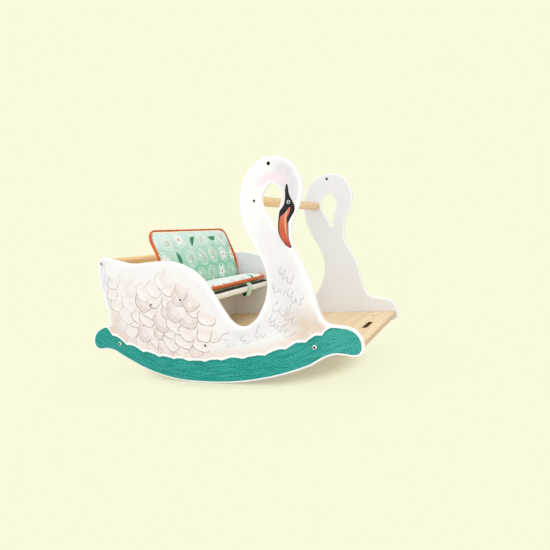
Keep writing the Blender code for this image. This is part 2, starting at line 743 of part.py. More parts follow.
def rounded_plan(along, across, length, half_width, corner):
    """Move a plan point of a pad inside its outline, whose two far corners are rounded."""
    limit_a = length - corner
    limit_b = half_width - corner
    side = 1 if across >= 0 else -1
    over_a = along - limit_a
    over_b = abs(across) - limit_b
    if over_a > 0 and over_b > 0:
        turned_a = over_a * math.sqrt(1 - over_b**2 / (2 * corner**2))
        turned_b = over_b * math.sqrt(1 - over_a**2 / (2 * corner**2))
        along = limit_a + turned_a
        across = side * (limit_b + turned_b)
    drawn = PAD_DRAW_IN * (1 - (2 * along / length - 1) ** 2)
    across -= drawn * across / half_width
    return along, across


def seam_depth(seam, crease_seam, bow, share):
    """Depth of a pad's seam at a share of the way from the crease, with a bow nearer the crease."""
    share = min(1.0, max(0.0, share))
    return crease_seam + (seam - crease_seam) * share + bow * math.sin(math.pi * share**0.8) ** 2


def pad_mesh(name, length, thickness, crown, seams, corner):
    """Crowned pad: local X is its depth from the back up, Y across, Z along from the crease."""
    half_width = PAD_WIDTH / 2
    bm = bmesh.new()
    edge_rings = []
    for top in (True, False):
        made = bmesh.ops.create_grid(bm, x_segments=PAD_ROWS, y_segments=PAD_COLUMNS, size=1.0)
        for vert in made["verts"]:
            s = math.sin(vert.co.x * math.pi / 2)
            t = math.sin(vert.co.y * math.pi / 2)
            along, across = rounded_plan((s + 1) / 2 * length, t * half_width, length, half_width, corner)
            inward = min(along, length - along, half_width - abs(t * half_width))
            share = min(1.0, max(0.0, inward / PAD_EDGE_WIDTH))
            swell = math.sqrt(1 - (1 - share) ** 2)
            dome = crown * (1 - s * s) * (1 - t * t)
            seam = seam_depth(*seams, along / length)
            if top:
                depth = seam + PAD_SEAM_HEIGHT / 2 + (thickness - seam) * swell + dome
            else:
                depth = (seam - PAD_SEAM_HEIGHT / 2) * (1 - swell)
            vert.co = (depth, across, along)
        verts = set(made["verts"])
        edge_rings += [e for e in bm.edges if e.verts[0] in verts and e.is_boundary]
    bmesh.ops.bridge_loops(bm, edges=edge_rings)
    mesh = mesh_from(bm, name)
    mesh.shade_smooth()
    return mesh


def soften(piece):
    """One level of Subdivision Surface."""
    smooth = piece.modifiers.new("soft form", "SUBSURF")
    smooth.levels = 1
    smooth.render_levels = 1


def seat_pad_matrix():
    """Frame of the seat pad: local X up, Z forward from the crease."""
    foot = Matrix.Translation((SEAT_PAD_REAR_X, 0, SEAT_TOP_Z + GAP))
    axes = Matrix(((0, 0, 1, 0), (0, -1, 0, 0), (1, 0, 0, 0), (0, 0, 0, 1)))
    return foot @ axes


def back_pad_matrix():
    """Frame of the back pad: local X forward from the board, Z up along it."""
    return backrest_matrix() @ Matrix.Translation((GAP, 0, BACK_PAD_LIFT))


def make_pads(look):
    """The two halves of the padded mat."""
    seat_length = SEAT_PAD_FRONT_X - SEAT_PAD_REAR_X
    seat = pad_mesh(
        "seat_pad", seat_length, SEAT_PAD_THICKNESS, SEAT_PAD_CROWN, SEAT_SEAMS, SEAT_PAD_CORNER
    )
    seat.transform(seat_pad_matrix())
    soften(place("seat_pad", seat, look))
    back = pad_mesh(
        "backrest_pad", BACK_PAD_HEIGHT, BACK_PAD_THICKNESS, BACK_PAD_CROWN, BACK_SEAMS, BACK_PAD_CORNER
    )
    back.transform(back_pad_matrix())
    soften(place("backrest_pad", back, look))


def pad_edge(length, seams, corner, matrix):
    """Points of the piping round a pad's sides and far end, from its right side to its left."""
    clear = PIPING_DIAMETER / 2 + GAP
    half_width = PAD_WIDTH / 2 + clear
    outer_corner = corner + clear
    far = length + clear
    points = []
    for along in (0.08, 0.22, 0.36, 0.5, 0.65, 0.8):
        points.append((length * along, -half_width))
    arc_steps = 4
    for step in range(arc_steps + 1):
        turn = step * math.pi / 2 / arc_steps
        along = far - outer_corner + outer_corner * math.sin(turn)
        points.append((along, -(half_width - outer_corner) - outer_corner * math.cos(turn)))
    for across in (-0.5, -0.2):
        points.append((far, half_width * across))
    mirrored = [(along, -across) for along, across in reversed(points)]
    placed = []
    for along, across in points + mirrored:
        drawn = PAD_DRAW_IN * (1 - (2 * min(along, length) / length - 1) ** 2)
        across -= drawn * across / half_width
        placed.append(matrix @ Vector((seam_depth(*seams, along / length), across, along)))
    return placed


def make_piping(look):
    """One closed run of piping: round the seat half, then up and round the back half."""
    seat_length = SEAT_PAD_FRONT_X - SEAT_PAD_REAR_X
    seat = pad_edge(seat_length, SEAT_SEAMS, SEAT_PAD_CORNER, seat_pad_matrix())
    back = pad_edge(BACK_PAD_HEIGHT, BACK_SEAMS, BACK_PAD_CORNER, back_pad_matrix())
    if (seat[0] - back[0]).length < (seat[0] - back[-1]).length:
        back = back[::-1]
    curve = bpy.data.curves.new("mat_piping", "CURVE")
    curve.dimensions = "3D"
    curve.bevel_depth = PIPING_DIAMETER / 2
    curve.bevel_resolution = 1
    curve.render_resolution_u = 0
    spline = curve.splines.new("POLY")
    points = seat + back
    spline.points.add(len(points) - 1)
    for point, place_at in zip(spline.points, points):
        point.co = (*place_at, 1)
    spline.use_cyclic_u = True
    place("mat_piping", curve, look)


def make_structure(looks):
    """Panels, boards and dowels."""
    panel = panel_mesh()
    make_panel("side_panel_right", -1, panel, looks["print"])
    make_panel("side_panel_left", 1, panel, looks["print"])
    make_floor_board(looks["plywood"])
    make_support_board(looks["plywood"])
    make_seat_board(looks["plywood"])
    make_backrest_board(looks["plywood"])
    make_dowel("handle_bar", HANDLE_X, HANDLE_Z, BOARD_WIDTH, looks["dowel"], True)
    make_dowel("tail_bar", TAIL_X, TAIL_Z, BOARD_WIDTH, looks["dowel"], True)
    rail_length = INNER_WIDTH + 2 * (RAIL_SOCKET_DEPTH - GAP)
    make_dowel("front_rail", RAIL_X, RAIL_Z, rail_length, looks["dowel"], False)


def main():
    """Build the whole toy."""
    looks = {
        "print": material("painted panel", (0.92, 0.90, 0.87), 0.45),
        "plywood": material("light plywood", (0.86, 0.66, 0.38), 0.5),
        "dowel": material("beech dowel", (0.83, 0.56, 0.27), 0.45),
        "cloth": material("mint cloth", (0.31, 0.70, 0.52), 0.9),
        "piping": material("orange piping", (0.75, 0.16, 0.04), 0.8),
        "sleeve": material("striped sleeve cloth", (0.80, 0.90, 0.82), 0.9),
        "strap": material("mint strap", (0.62, 0.81, 0.70), 0.85),
        "steel": material("zinc-plated steel", (0.62, 0.62, 0.62), 0.35, 1.0),
    }
    make_structure(looks)
    make_sleeve(looks["sleeve"])
    make_strap(looks["strap"], looks["steel"])
    make_pads(looks["cloth"])
    make_piping(looks["piping"])
    make_bolts(looks["steel"])
    make_nuts(looks["steel"])
    make_inserts(looks["steel"])
    make_backrest_screws(looks["steel"])


for leftover in list(bpy.data.objects):
    bpy.data.objects.remove(leftover, do_unlink=True)
SWAN = collection("rocking_swan")
CUTTERS = collection("cutters")
main()
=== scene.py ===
"""Looks of the rocking swan: printed plywood sides, boards, dowels, bolts and a padded mat.

Metres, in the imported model's own frame: +X toward the beak, +Y to the rider's left, +Z up.
Outlines are given in millimetres from a named place, and colours as sRGB values from 0 to 255.
"""

import math

import bmesh
import bpy
import numpy as np
from mathutils import Matrix, Vector


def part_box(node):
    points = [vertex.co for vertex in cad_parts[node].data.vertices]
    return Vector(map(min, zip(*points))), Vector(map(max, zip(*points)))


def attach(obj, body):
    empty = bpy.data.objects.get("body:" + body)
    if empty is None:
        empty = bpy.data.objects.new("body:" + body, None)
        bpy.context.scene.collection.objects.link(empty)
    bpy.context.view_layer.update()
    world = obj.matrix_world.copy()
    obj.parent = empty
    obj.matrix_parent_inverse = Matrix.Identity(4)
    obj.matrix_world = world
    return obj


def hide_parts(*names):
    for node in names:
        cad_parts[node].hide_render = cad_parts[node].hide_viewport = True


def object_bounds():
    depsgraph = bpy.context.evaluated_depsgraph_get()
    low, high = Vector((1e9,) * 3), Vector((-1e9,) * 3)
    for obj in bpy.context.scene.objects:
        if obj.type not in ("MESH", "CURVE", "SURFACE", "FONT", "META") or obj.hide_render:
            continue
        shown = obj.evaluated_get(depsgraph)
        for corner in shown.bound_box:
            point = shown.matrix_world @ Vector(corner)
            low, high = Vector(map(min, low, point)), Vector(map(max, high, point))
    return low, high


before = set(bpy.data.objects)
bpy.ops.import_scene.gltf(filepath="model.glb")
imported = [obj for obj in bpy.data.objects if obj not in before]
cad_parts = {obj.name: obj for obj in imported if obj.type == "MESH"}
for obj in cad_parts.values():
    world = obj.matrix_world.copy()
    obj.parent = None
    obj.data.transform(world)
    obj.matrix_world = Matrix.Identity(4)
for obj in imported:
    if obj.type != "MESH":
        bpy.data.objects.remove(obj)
CAD_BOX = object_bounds()

MM = 0.001
SMALL_GAP = 0.0003
ON_FACE = 0.00001
FINE_WELD = 0.000001
QUARTER_TURN = Matrix.Rotation(math.pi / 2, 4, "X")
# Names of the two sides, by the sign of their Y
SIDES = {-1: "right", 1: "left"}

# Camera that took the photograph
CAMERA_PLACE = (0.6755, -1.3085, 0.3660)
CAMERA_YAW = math.radians(24.06)
CAMERA_PITCH = math.radians(4.24)
CAMERA_ROLL = math.radians(-4.61)
CAMERA_LENS = 31.75
CAMERA_SENSOR = 36.0

# Colours
PALE_YELLOW = (251, 250, 221)
NEUTRAL_FLOOR = (244, 243, 238)
PRINT_WHITE = (252, 252, 250)
PURE_WHITE = (255, 255, 255)
BODY_GREY = (247, 247, 244)
LILAC_GREY = (226, 221, 225)
LAVENDER = (224, 219, 236)
TAN_TINT = (224, 205, 185)
PINK_TINT = (244, 226, 231)
FEATHER_LINE = (154, 130, 118)
FEATHER_SHADE = (232, 217, 209)
FEATHER_CREAM = (255, 249, 241)
FEATHER_PINK = (252, 241, 240)
TEAL = (0, 154, 143)
TEAL_DARK = (0, 126, 110)
TEAL_LIGHT = (92, 186, 176)
INNER_WHITE = (239, 241, 246)
EDGE_WHITE = (255, 255, 254)
PLYWOOD = (251, 226, 182)
PLYWOOD_GRAIN = (238, 204, 150)
PLYWOOD_DARK_PLY = (196, 150, 96)
# Dark brown on the walls inside a board's holes: painted shade
HOLE_PAINTED_SHADE = (104, 72, 34)
BEECH = (250, 216, 164)
BEECH_GRAIN = (226, 178, 116)
BEAK_BLACK = (13, 14, 18)
BEAK_GREY = (46, 46, 54)
BILL_ORANGE = (192, 76, 40)
BILL_PINK = (218, 118, 98)
BILL_CREAM = (238, 196, 148)
BILL_RED = (166, 50, 32)
MINT = (140, 208, 176)
MINT_LIGHT = (214, 241, 232)
# Pale mint painted where the mat is painted as lit: painted light and sheen
MAT_PAINTED_LIGHT = (236, 247, 245)
LEAF_GREEN = (0, 134, 74)
CLOTH_WHITE = (253, 255, 253)
CLOTH_ORANGE = (236, 132, 72)
PIPING_ORANGE = (222, 106, 36)
STRIPE_GREEN = (2, 40, 28)
STRIPE_CREAM = (255, 244, 204)
STRAP_MINT = (204, 234, 219)
STRAP_INSIDE = (36, 126, 92)
STEEL = (236, 236, 238)
# Near-black for sockets and the insides of hex sockets: painted shade in their recesses
SOCKET_PAINTED_SHADE = (16, 16, 18)
COOL_WHITE = (234, 238, 245)
BRUSHED_GREY = (224, 219, 221)
WATER_BLUSH = (246, 226, 218)
INNER_GRAIN = (222, 216, 213)
EDGE_PLY = (232, 224, 210)
BILL_STROKE = (216, 106, 66)
BILL_MOUTH_PINK = (210, 104, 92)
PLYWOOD_FIBRE = (206, 160, 104)
PLYWOOD_PALE_PLY = (238, 208, 164)
PAINTED_BOARD = (236, 234, 230)
PAINTED_GRAIN = (226, 222, 216)
BEECH_FLECK = (172, 118, 66)
SLEEVE_WHITE = (250, 253, 250)
BERRY_TAN = (206, 150, 104)
PIPING_FLECK = (200, 86, 30)
NICKEL = (206, 204, 200)


def linear(colour):
    """Linear RGBA of an sRGB colour from 0 to 255."""
    parts = [value / 255 for value in colour]
    parts = [p / 12.92 if p <= 0.04045 else ((p + 0.055) / 1.055) ** 2.4 for p in parts]
    return (*parts, 1.0)


class Field:
    """A number that varies over a surface; arithmetic on it adds Math nodes to its look."""

    def __init__(self, look, socket):
        self.look = look
        self.socket = socket

    def math(self, operation, *others):
        """One Math node with this field as its first input."""
        node = self.look.add("ShaderNodeMath", operation=operation)
        for port, value in zip(node.inputs, (self, *others)):
            self.look.feed(port, value)
        return Field(self.look, node.outputs[0])

    def __add__(self, other):
        return self.math("ADD", other)

    __radd__ = __add__

    def __sub__(self, other):
        return self.math("SUBTRACT", other)

    def __rsub__(self, other):
        return self.math("MULTIPLY_ADD", -1.0, other)

    def __mul__(self, other):
        return self.math("MULTIPLY", other)

    __rmul__ = __mul__

    def __truediv__(self, other):
        return self.math("DIVIDE", other)

    def __abs__(self):
        return self.math("ABSOLUTE")

    def step(self, low, high):
        """Smooth rise from 0 at low to 1 at high."""
        node = self.look.add("ShaderNodeMapRange", interpolation_type="SMOOTHSTEP")
        self.look.feed(node.inputs["Value"], self)
        node.inputs["From Min"].default_value = min(low, high)
        node.inputs["From Max"].default_value = max(low, high)
        node.inputs["To Min"].default_value = float(low > high)
        node.inputs["To Max"].default_value = float(low < high)
        return Field(self.look, node.outputs["Result"])


def length_of(a, b):
    """Length of the vector with the two field components."""
    return (a * a + b * b).math("SQRT")


class Look:
    """A procedural material being made: its Principled shader and the nodes that feed it."""

    def __init__(self, name, roughness=0.5, metallic=0.0, **constants):
        self.material = bpy.data.materials.new(name)
        self.material.use_nodes = True
        self.tree = self.material.node_tree
        self.shader = self.tree.nodes["Principled BSDF"]
        self.shader.inputs["Roughness"].default_value = roughness
        self.shader.inputs["Metallic"].default_value = metallic
        for port, value in constants.items():
            self.shader.inputs[port.replace("_", " ")].default_value = value
        coordinates = self.add("ShaderNodeTexCoord")
        parts = self.add("ShaderNodeSeparateXYZ")
        self.tree.links.new(coordinates.outputs["Object"], parts.inputs[0])
        self.x, self.y, self.z = (Field(self, out) for out in parts.outputs)

    def add(self, kind, **settings):
        """A new node with its settings."""
        node = self.tree.nodes.new(kind)
        for name, value in settings.items():
            setattr(node, name, value)
        return node

    def feed(self, port, value):
        """Link a field or socket into a port, or set the port to a number or colour."""
        if isinstance(value, Field):
            value = value.socket
        if isinstance(value, bpy.types.NodeSocket):
            self.tree.links.new(value, port)
        else:
            port.default_value = value

    def vector(self, x, y, z=0.0):
        """A vector from three numbers or fields."""
        node = self.add("ShaderNodeCombineXYZ")
        for port, value in zip(node.inputs, (x, y, z)):
            self.feed(port, value)
        return node.outputs[0]

    def attribute(self, name):
        """A number kept on the mesh's points."""
        node = self.add("ShaderNodeAttribute", attribute_name=name)
        return Field(self, node.outputs["Fac"])

    def normal(self):
        """The surface's own normal, as three fields."""
        geometry = self.add("ShaderNodeNewGeometry")
        parts = self.add("ShaderNodeSeparateXYZ")
        self.tree.links.new(geometry.outputs["True Normal"], parts.inputs[0])
        return [Field(self, out) for out in parts.outputs]

    def noise(self, x, y, z=0.0, detail=2.0, roughness=0.5, distortion=0.0):
        """Noise about 0.5 at a point whose size is already in noise cells."""
        node = self.add("ShaderNodeTexNoise")
        self.feed(node.inputs["Vector"], self.vector(x, y, z))
        node.inputs["Scale"].default_value = 1.0
        node.inputs["Detail"].default_value = detail
        node.inputs["Roughness"].default_value = roughness
        node.inputs["Distortion"].default_value = distortion
        return Field(self, node.outputs["Fac"])

    def chance(self, a, b, seed=0.0):
        """A number from 0 to 1 that is the same all over one cell."""
        node = self.add("ShaderNodeTexWhiteNoise", noise_dimensions="3D")
        self.feed(node.inputs["Vector"], self.vector(a, b, seed))
        return Field(self, node.outputs["Value"])

    def mix(self, share, a, b):
        """Colour a where share is 0 and b where it is 1."""
        node = self.add("ShaderNodeMix", data_type="RGBA")
        self.feed(node.inputs["Factor"], share)
        ends = [port for port in node.inputs if port.type == "RGBA"]
        for port, colour in zip(ends, (a, b)):
            self.feed(port, linear(colour) if isinstance(colour, tuple) else colour)
        return next(out for out in node.outputs if out.type == "RGBA")

    def bump(self, height, distance):
        """Relief of a height field from 0 to 1, with its full height in metres."""
        node = self.add("ShaderNodeBump")
        node.inputs["Strength"].default_value = 1.0
        node.inputs["Distance"].default_value = distance
        self.feed(node.inputs["Height"], height)
        self.feed(self.shader.inputs["Normal"], node.outputs["Normal"])

    def paint(self, share, tint):
        """Lay a tint over the look's colour so far, where share is 1."""
        self.colour = self.mix(share, self.colour, tint)

    def at(self, x, y, z):
        """The surface's place, in cells whose number in a metre is given along each axis."""
        return self.x * x, self.y * y, self.z * z

    def finish(self, colour, roughness=None):
        """Set the colour, and the roughness if it varies, and return the material."""
        self.feed(self.shader.inputs["Base Color"], colour)
        if roughness is not None:
            self.feed(self.shader.inputs["Roughness"], roughness)
        return self.material


def middle(node):
    """Centre of a CAD node at rest."""
    low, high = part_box(node)
    return (low + high) / 2


def extent(node):
    """Size of a CAD node at rest."""
    low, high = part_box(node)
    return high - low


def from_anchor(place, offsets):
    """Points in the XZ plane, in metres, from millimetre offsets round a place."""
    return [(place[0] + dx * MM, place[1] + dz * MM) for dx, dz in offsets]


def show(name, mesh, looks, body="frame", stands_for=()):
    """Put a mesh in the scene as a piece that rides on a body."""
    piece = bpy.data.objects.new(name, mesh)
    bpy.context.scene.collection.objects.link(piece)
    looks = looks if isinstance(looks, (list, tuple)) else [looks]
    while len(mesh.materials) > len(looks):
        mesh.materials.pop(index=-1)
    while len(mesh.materials) < len(looks):
        mesh.materials.append(None)
    for number, look in enumerate(looks):
        mesh.materials[number] = look
    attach(piece, body)
    if stands_for:
        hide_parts(*stands_for)
    return piece


def drop_object(piece):
    """Remove a helper object from the file."""
    bpy.data.objects.remove(piece, do_unlink=True)


def cleaned(mesh, weld=FINE_WELD):
    """The mesh with its coincident points welded and its faces turned outward."""
    bm = bmesh.new()
    bm.from_mesh(mesh)
    bmesh.ops.remove_doubles(bm, verts=bm.verts, dist=weld)
    bmesh.ops.recalc_face_normals(bm, faces=bm.faces)
    bm.to_mesh(mesh)
    bm.free()
    return mesh


def solid_copy(piece, name, weld=ON_FACE):
    """A clean mesh, in world places, of what a helper object's modifiers or curve make."""
    bpy.context.view_layer.update()
    graph = bpy.context.evaluated_depsgraph_get()
    mesh = bpy.data.meshes.new_from_object(piece.evaluated_get(graph))
    mesh.name = name
    mesh.transform(piece.matrix_world)
    drop_object(piece)
    return cleaned(mesh, weld)


def helper(name, data):
    """A helper object linked to the scene, to be removed once it has been used."""
    piece = bpy.data.objects.new(name, data)
    bpy.context.scene.collection.objects.link(piece)
    return piece


def to_mesh(bm, name):
    """A new mesh made of a bmesh, which is freed."""
    mesh = bpy.data.meshes.new(name)
    bm.to_mesh(mesh)
    bm.free()
    return mesh


def cut(blank, cutter, name):
    """What is left of a blank when a cutter is taken out of it; both are helpers."""
    boolean = blank.modifiers.new("cut", "BOOLEAN")
    boolean.operation = "DIFFERENCE"
    boolean.object = cutter
    mesh = solid_copy(blank, name, FINE_WELD)
    drop_object(cutter)
    return mesh


def loft(name, rings):
    """A closed mesh through rings of points, whose last ring joins the first."""
    count = len(rings[0])
    faces = []
    for number in range(len(rings)):
        start, after = number * count, (number + 1) % len(rings) * count
        for corner in range(count):
            following = (corner + 1) % count
            faces.append((start + corner, start + following, after + following, after + corner))
    mesh = bpy.data.meshes.new(name)
    mesh.from_pydata([point for ring in rings for point in ring], [], faces)
    return mesh


def smooth(mesh, degrees=35):
    """Shade a mesh smooth below an angle."""
    mesh.shade_smooth()
    mesh.set_sharp_from_angle(angle=math.radians(degrees))
    return mesh


def turned(name, profile, steps=64):
    """A mesh turned round local Z from (radius, height) points that run down its outer side."""
    mesh = bpy.data.meshes.new(name)
    points = [(radius, 0, height) for radius, height in profile]
    mesh.from_pydata(points, [(n, n + 1) for n in range(len(points) - 1)], [])
    piece = helper(name, mesh)
    screw = piece.modifiers.new("turned", "SCREW")
    screw.steps = steps
    screw.render_steps = steps
    screw.use_merge_vertices = True
    screw.merge_threshold = FINE_WELD
    return smooth(solid_copy(piece, name, FINE_WELD))


# Swan outline, repeated from the CAD source so that the shown panel is a finer cut of the same shape
EDGE_ROUND = 0.004
HANDLE = (middle("handle_bar").x, middle("handle_bar").z)
TAIL = (middle("tail_bar").x, middle("tail_bar").z)
PANEL_LOW, PANEL_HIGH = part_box("side_panel_right")
FRONT_TOE = (0.404, 0.107)
REAR_TOE = (-0.404, 0.109)
LEG = (0.100, 0.154)
WING = (-0.140, 0.331)
ROCKER_LOW_X = -0.038
ROCKER_RADIUS_FRONT = 0.800
ROCKER_RADIUS_REAR = 0.480
ROCKER_STEP = 0.036
ROCKER_FRONT_STEPS = 9
ROCKER_REAR_STEPS = 7

TAIL_TOP = [(-4, 17), (32, 11), (71, 1)]
WING_TOP = [(-96, -2), (-40, -1), (0, 0), (40, -4), (90, -24), (127, -53)]
LEG_CUT = [(-76, 70), (-55, 36), (-33, 8), (-9, -3), (29, 12), (50, 38), (68, 76), (73, 118), (65, 158)]
NECK_BACK = [(-16, -104), (-35, -62), (-43, -7), (-34, 39), (-12, 76)]
HEAD = [(25, 97), (62, 100), (97, 84), (118, 52), (123, 14), (112, -23)]
THROAT = [(95, -54), (88, -87), (91, -119), (106, -152)]
BREAST = [(-121, 160), (-109, 110), (-100, 76), (-86, 54)]
FRONT_TOE_EDGE = [(-58, 47), (-30, 42), (-10, 28), (0, 0), (-8, -22), (-25, -27), (-48, -24), (-74, -24)]
REAR_TOE_EDGE = [
    (101, -43), (78, -31), (48, -24.5), (20, -27), (4, -17), (0, 3), (12, 27), (32, 40), (50, 46)
]
TAIL_BACK = [(1, -178), (5, -150), (-3, -118), (-13, -80), (-18, -34), (-16, -2)]
NECK_HOLE = [(48, 37), (30, 27), (19, 9), (19, -11), (28, -32), (40, -52), (50, -71)]
NECK_HOLE_BEAK_SIDE = [(53, -57), (56, -41), (61, -25), (67, -10), (69, 4), (63, 24)]


def rocker_knots():
    """Knots along the rocker's underside, from the front arc back through the rear one."""
    knots = []
    for step in range(ROCKER_FRONT_STEPS - 1, -ROCKER_REAR_STEPS - 1, -1):
        away = (step + 0.5) * ROCKER_STEP
        radius = ROCKER_RADIUS_FRONT if away > 0 else ROCKER_RADIUS_REAR
        run = abs(away) - ROCKER_STEP / 2
        knots.append((ROCKER_LOW_X + away, radius - math.sqrt(radius**2 - run**2)))
    return knots


def swan_outline():
    """Knots of the swan's outline, clockwise from the tail tip."""
    return (
        from_anchor(TAIL, TAIL_TOP)
        + from_anchor(WING, WING_TOP)
        + from_anchor(LEG, LEG_CUT)
        + from_anchor(HANDLE, NECK_BACK + HEAD + THROAT)
        + from_anchor(FRONT_TOE, BREAST + FRONT_TOE_EDGE)
        + rocker_knots()
        + from_anchor(REAR_TOE, REAR_TOE_EDGE)
        + from_anchor(TAIL, TAIL_BACK)
    )


def add_loop(curve, knots, straight=()):
    """Add a closed Bezier spline, smooth except at the knots named as straight."""
    spline = curve.splines.new("BEZIER")
    spline.bezier_points.add(len(knots) - 1)
    for point, knot in zip(spline.bezier_points, knots):
        point.co = (*knot, 0)
        handle = "VECTOR" if knot in straight else "AUTO"
        point.handle_left_type = handle
        point.handle_right_type = handle
    spline.use_cyclic_u = True


def flat_curve(name, loops, thickness, edge=0.0, resolution=8, straight=()):
    """Mesh of a filled flat outline standing in the XZ plane, its middle at Y = 0."""
    curve = bpy.data.curves.new(name, "CURVE")
    curve.dimensions = "2D"
    curve.fill_mode = "BOTH"
    curve.resolution_u = resolution
    curve.render_resolution_u = 0
    curve.bevel_depth = edge
    curve.bevel_resolution = 4
    curve.offset = -edge
    curve.extrude = thickness / 2 - edge
    for knots in loops:
        add_loop(curve, knots, straight)
    outline = helper(name, curve)
    outline.rotation_euler = (math.pi / 2, 0, 0)
    return solid_copy(outline, name)


CAP_GRID = 0.012
BOLT_HOLE_RADIUS = 0.0034
SOCKET_HOLE_RADIUS = 0.0048
RAIL_SOCKET_DEPTH = 0.008


def cap_faces(bm, y):
    """Faces of a panel mesh that lie flat on one of its two sides."""
    return [f for f in bm.faces if all(abs(v.co.y - y) < ON_FACE for v in f.verts)]


def grid_cap(bm, y):
    """Cut a flat side into small cells, so that its points can carry the print's fades."""
    for axis, low, high in ((0, PANEL_LOW.x, PANEL_HIGH.x), (2, PANEL_LOW.z, PANEL_HIGH.z)):
        for number in range(1, int((high - low) / CAP_GRID) + 1):
            faces = cap_faces(bm, y)
            geometry = set(faces)
            for face in faces:
                geometry.update(face.edges)
                geometry.update(face.verts)
            normal = Vector((1, 0, 0)) if axis == 0 else Vector((0, 0, 1))
            bmesh.ops.bisect_plane(
                bm, geom=list(geometry), plane_co=normal * (low + number * CAP_GRID), plane_no=normal
            )


def cap_border(bm, y):
    """The edge segments round a flat side, as an array of two XZ points each."""
    caps = set(cap_faces(bm, y))
    segments = []
    for edge in bm.edges:
        if sum(face in caps for face in edge.link_faces) == 1:
            segments.append([(v.co.x, v.co.z) for v in edge.verts])
    return np.array(segments)


def border_distance(points, segments):
    """Distance from each point to the nearest segment."""
    start = segments[:, 0]
    run = segments[:, 1] - start
    length = np.maximum((run**2).sum(1), 1e-12)
    nearest = np.full(len(points), 1e9)
    for number, point in enumerate(points):
        share = np.clip(((point - start) * run).sum(1) / length, 0, 1)
        gap = point - (start + run * share[:, None])
        nearest[number] = np.sqrt((gap**2).sum(1).min())
    return nearest


HOLE_BARE_RIM = 0.0026
HOLE_MIDDLE = (HANDLE[0] + 0.044, HANDLE[1] - 0.017)
HOLE_REACH = (0.040, 0.064)


def rim_distance(points, segments):
    """Distance from the painted white rim's border, which the neck hole has almost none of."""
    hole = (np.abs(segments.mean(1) - HOLE_MIDDLE) < HOLE_REACH).all(1)
    round_hole = border_distance(points, segments[hole]) + HOLE_BARE_RIM
    return np.minimum(border_distance(points, segments[~hole]), round_hole)


def carry(mesh, **fields):
    """Keep arrays of numbers on a mesh's points, for its look to read."""
    for name, values in fields.items():
        attribute = mesh.attributes.new(name, "FLOAT", "POINT")
        attribute.data.foreach_set("value", np.asarray(values, np.float32))


def soft_step(values, low, high):
    """Smooth rise from 0 at low to 1 at high, for arrays."""
    share = np.clip((values - low) / (high - low), 0, 1)
    return share * share * (3 - 2 * share)


def soft_oval(points, centre, radii, fade):
    """1 inside an oval and 0 outside it, with a fading rim, for arrays."""
    away = np.hypot((points[:, 0] - centre[0]) / radii[0], (points[:, 1] - centre[1]) / radii[1])
    return soft_step(away, 1 + fade, 1 - fade)


def tone_fields(points, edge, above_water):
    """Where the print's washes lie: body grey, lilac, pink, tan, lavender and cool grey."""
    x, z = points[:, 0], points[:, 1]
    inside = soft_step(edge, 0.002, 0.011)
    ends = soft_step(x, -0.20, -0.33) + soft_step(x, 0.20, 0.28)
    wing = soft_step(x, 0.07, -0.05) * soft_step(z, 0.30, 0.10)
    band = soft_step(above_water, 0.034, 0.006) * (0.35 + 0.5 * ends)
    cool = soft_step(edge, 0.034, 0.010) * soft_oval(points, (0.090, 0.190), (0.135, 0.120), 0.3)
    toe = 0.85 * soft_oval(points, (0.275, 0.158), (0.046, 0.034), 0.9)
    toe += 0.50 * soft_oval(points, (-0.330, 0.165), (0.034, 0.034), 0.9)
    lilac = soft_oval(points, (HANDLE[0] + 0.094, HANDLE[1] + 0.015), (0.048, 0.100), 0.55)
    lilac += 0.42 * soft_oval(points, (0.205, 0.345), (0.050, 0.095), 0.8)
    lilac += 0.34 * sum(soft_oval(points, (tx, tz), (0.032, 0.024), 0.8) for tx, tz, _ in TUFTS)
    pink = soft_oval(points, (HANDLE[0] + 0.046, HANDLE[1] + 0.044), (0.040, 0.018), 0.7)
    pink += 0.24 * soft_oval(points, (-0.170, 0.205), (0.200, 0.130), 0.5)
    return {
        "body": soft_step(z, 0.50, 0.39) * (0.45 + 0.55 * inside),
        "lilac": np.clip(lilac, 0, 1) * (0.5 + 0.5 * inside),
        "pink": np.clip(pink, 0, 1) * (0.7 + 0.3 * inside),
        "tan": np.clip(wing * 0.14 + band + toe, 0, 1) * (0.3 + 0.7 * inside),
        "lavender": soft_step(x, -0.310, -0.345) * soft_step(z, 0.13, 0.20) * inside,
        "cool": cool * inside,
    }


FAN_PIVOT = (0.215, 0.600)
FEATHER_ROWS = 11
FEATHER_ROW_STEP = 0.0280
FEATHER_ROW_FAR = 0.705
FEATHER_SPACE = 0.043
FEATHER_LENGTH = 0.060
FEATHER_WIDTH = 0.053
FEATHER_SIDES = 24
FEATHER_FILM = 0.00004
TUFT_LENGTH = 0.030
TUFT_WIDTH = 0.0145
TUFTS = [
    (0.232, 0.286, -0.30), (0.206, 0.252, -0.40), (0.250, 0.233, -0.25), (0.214, 0.205, -0.45),
    (0.243, 0.186, -0.50), (0.196, 0.168, -0.75), (0.152, 0.146, -1.05), (0.108, 0.132, -1.20),
    (0.226, 0.152, -0.80), (0.060, 0.118, -1.25),
]
FEATHER_CLEAR = 0.0085
FEATHER_LIFT = 0.00008


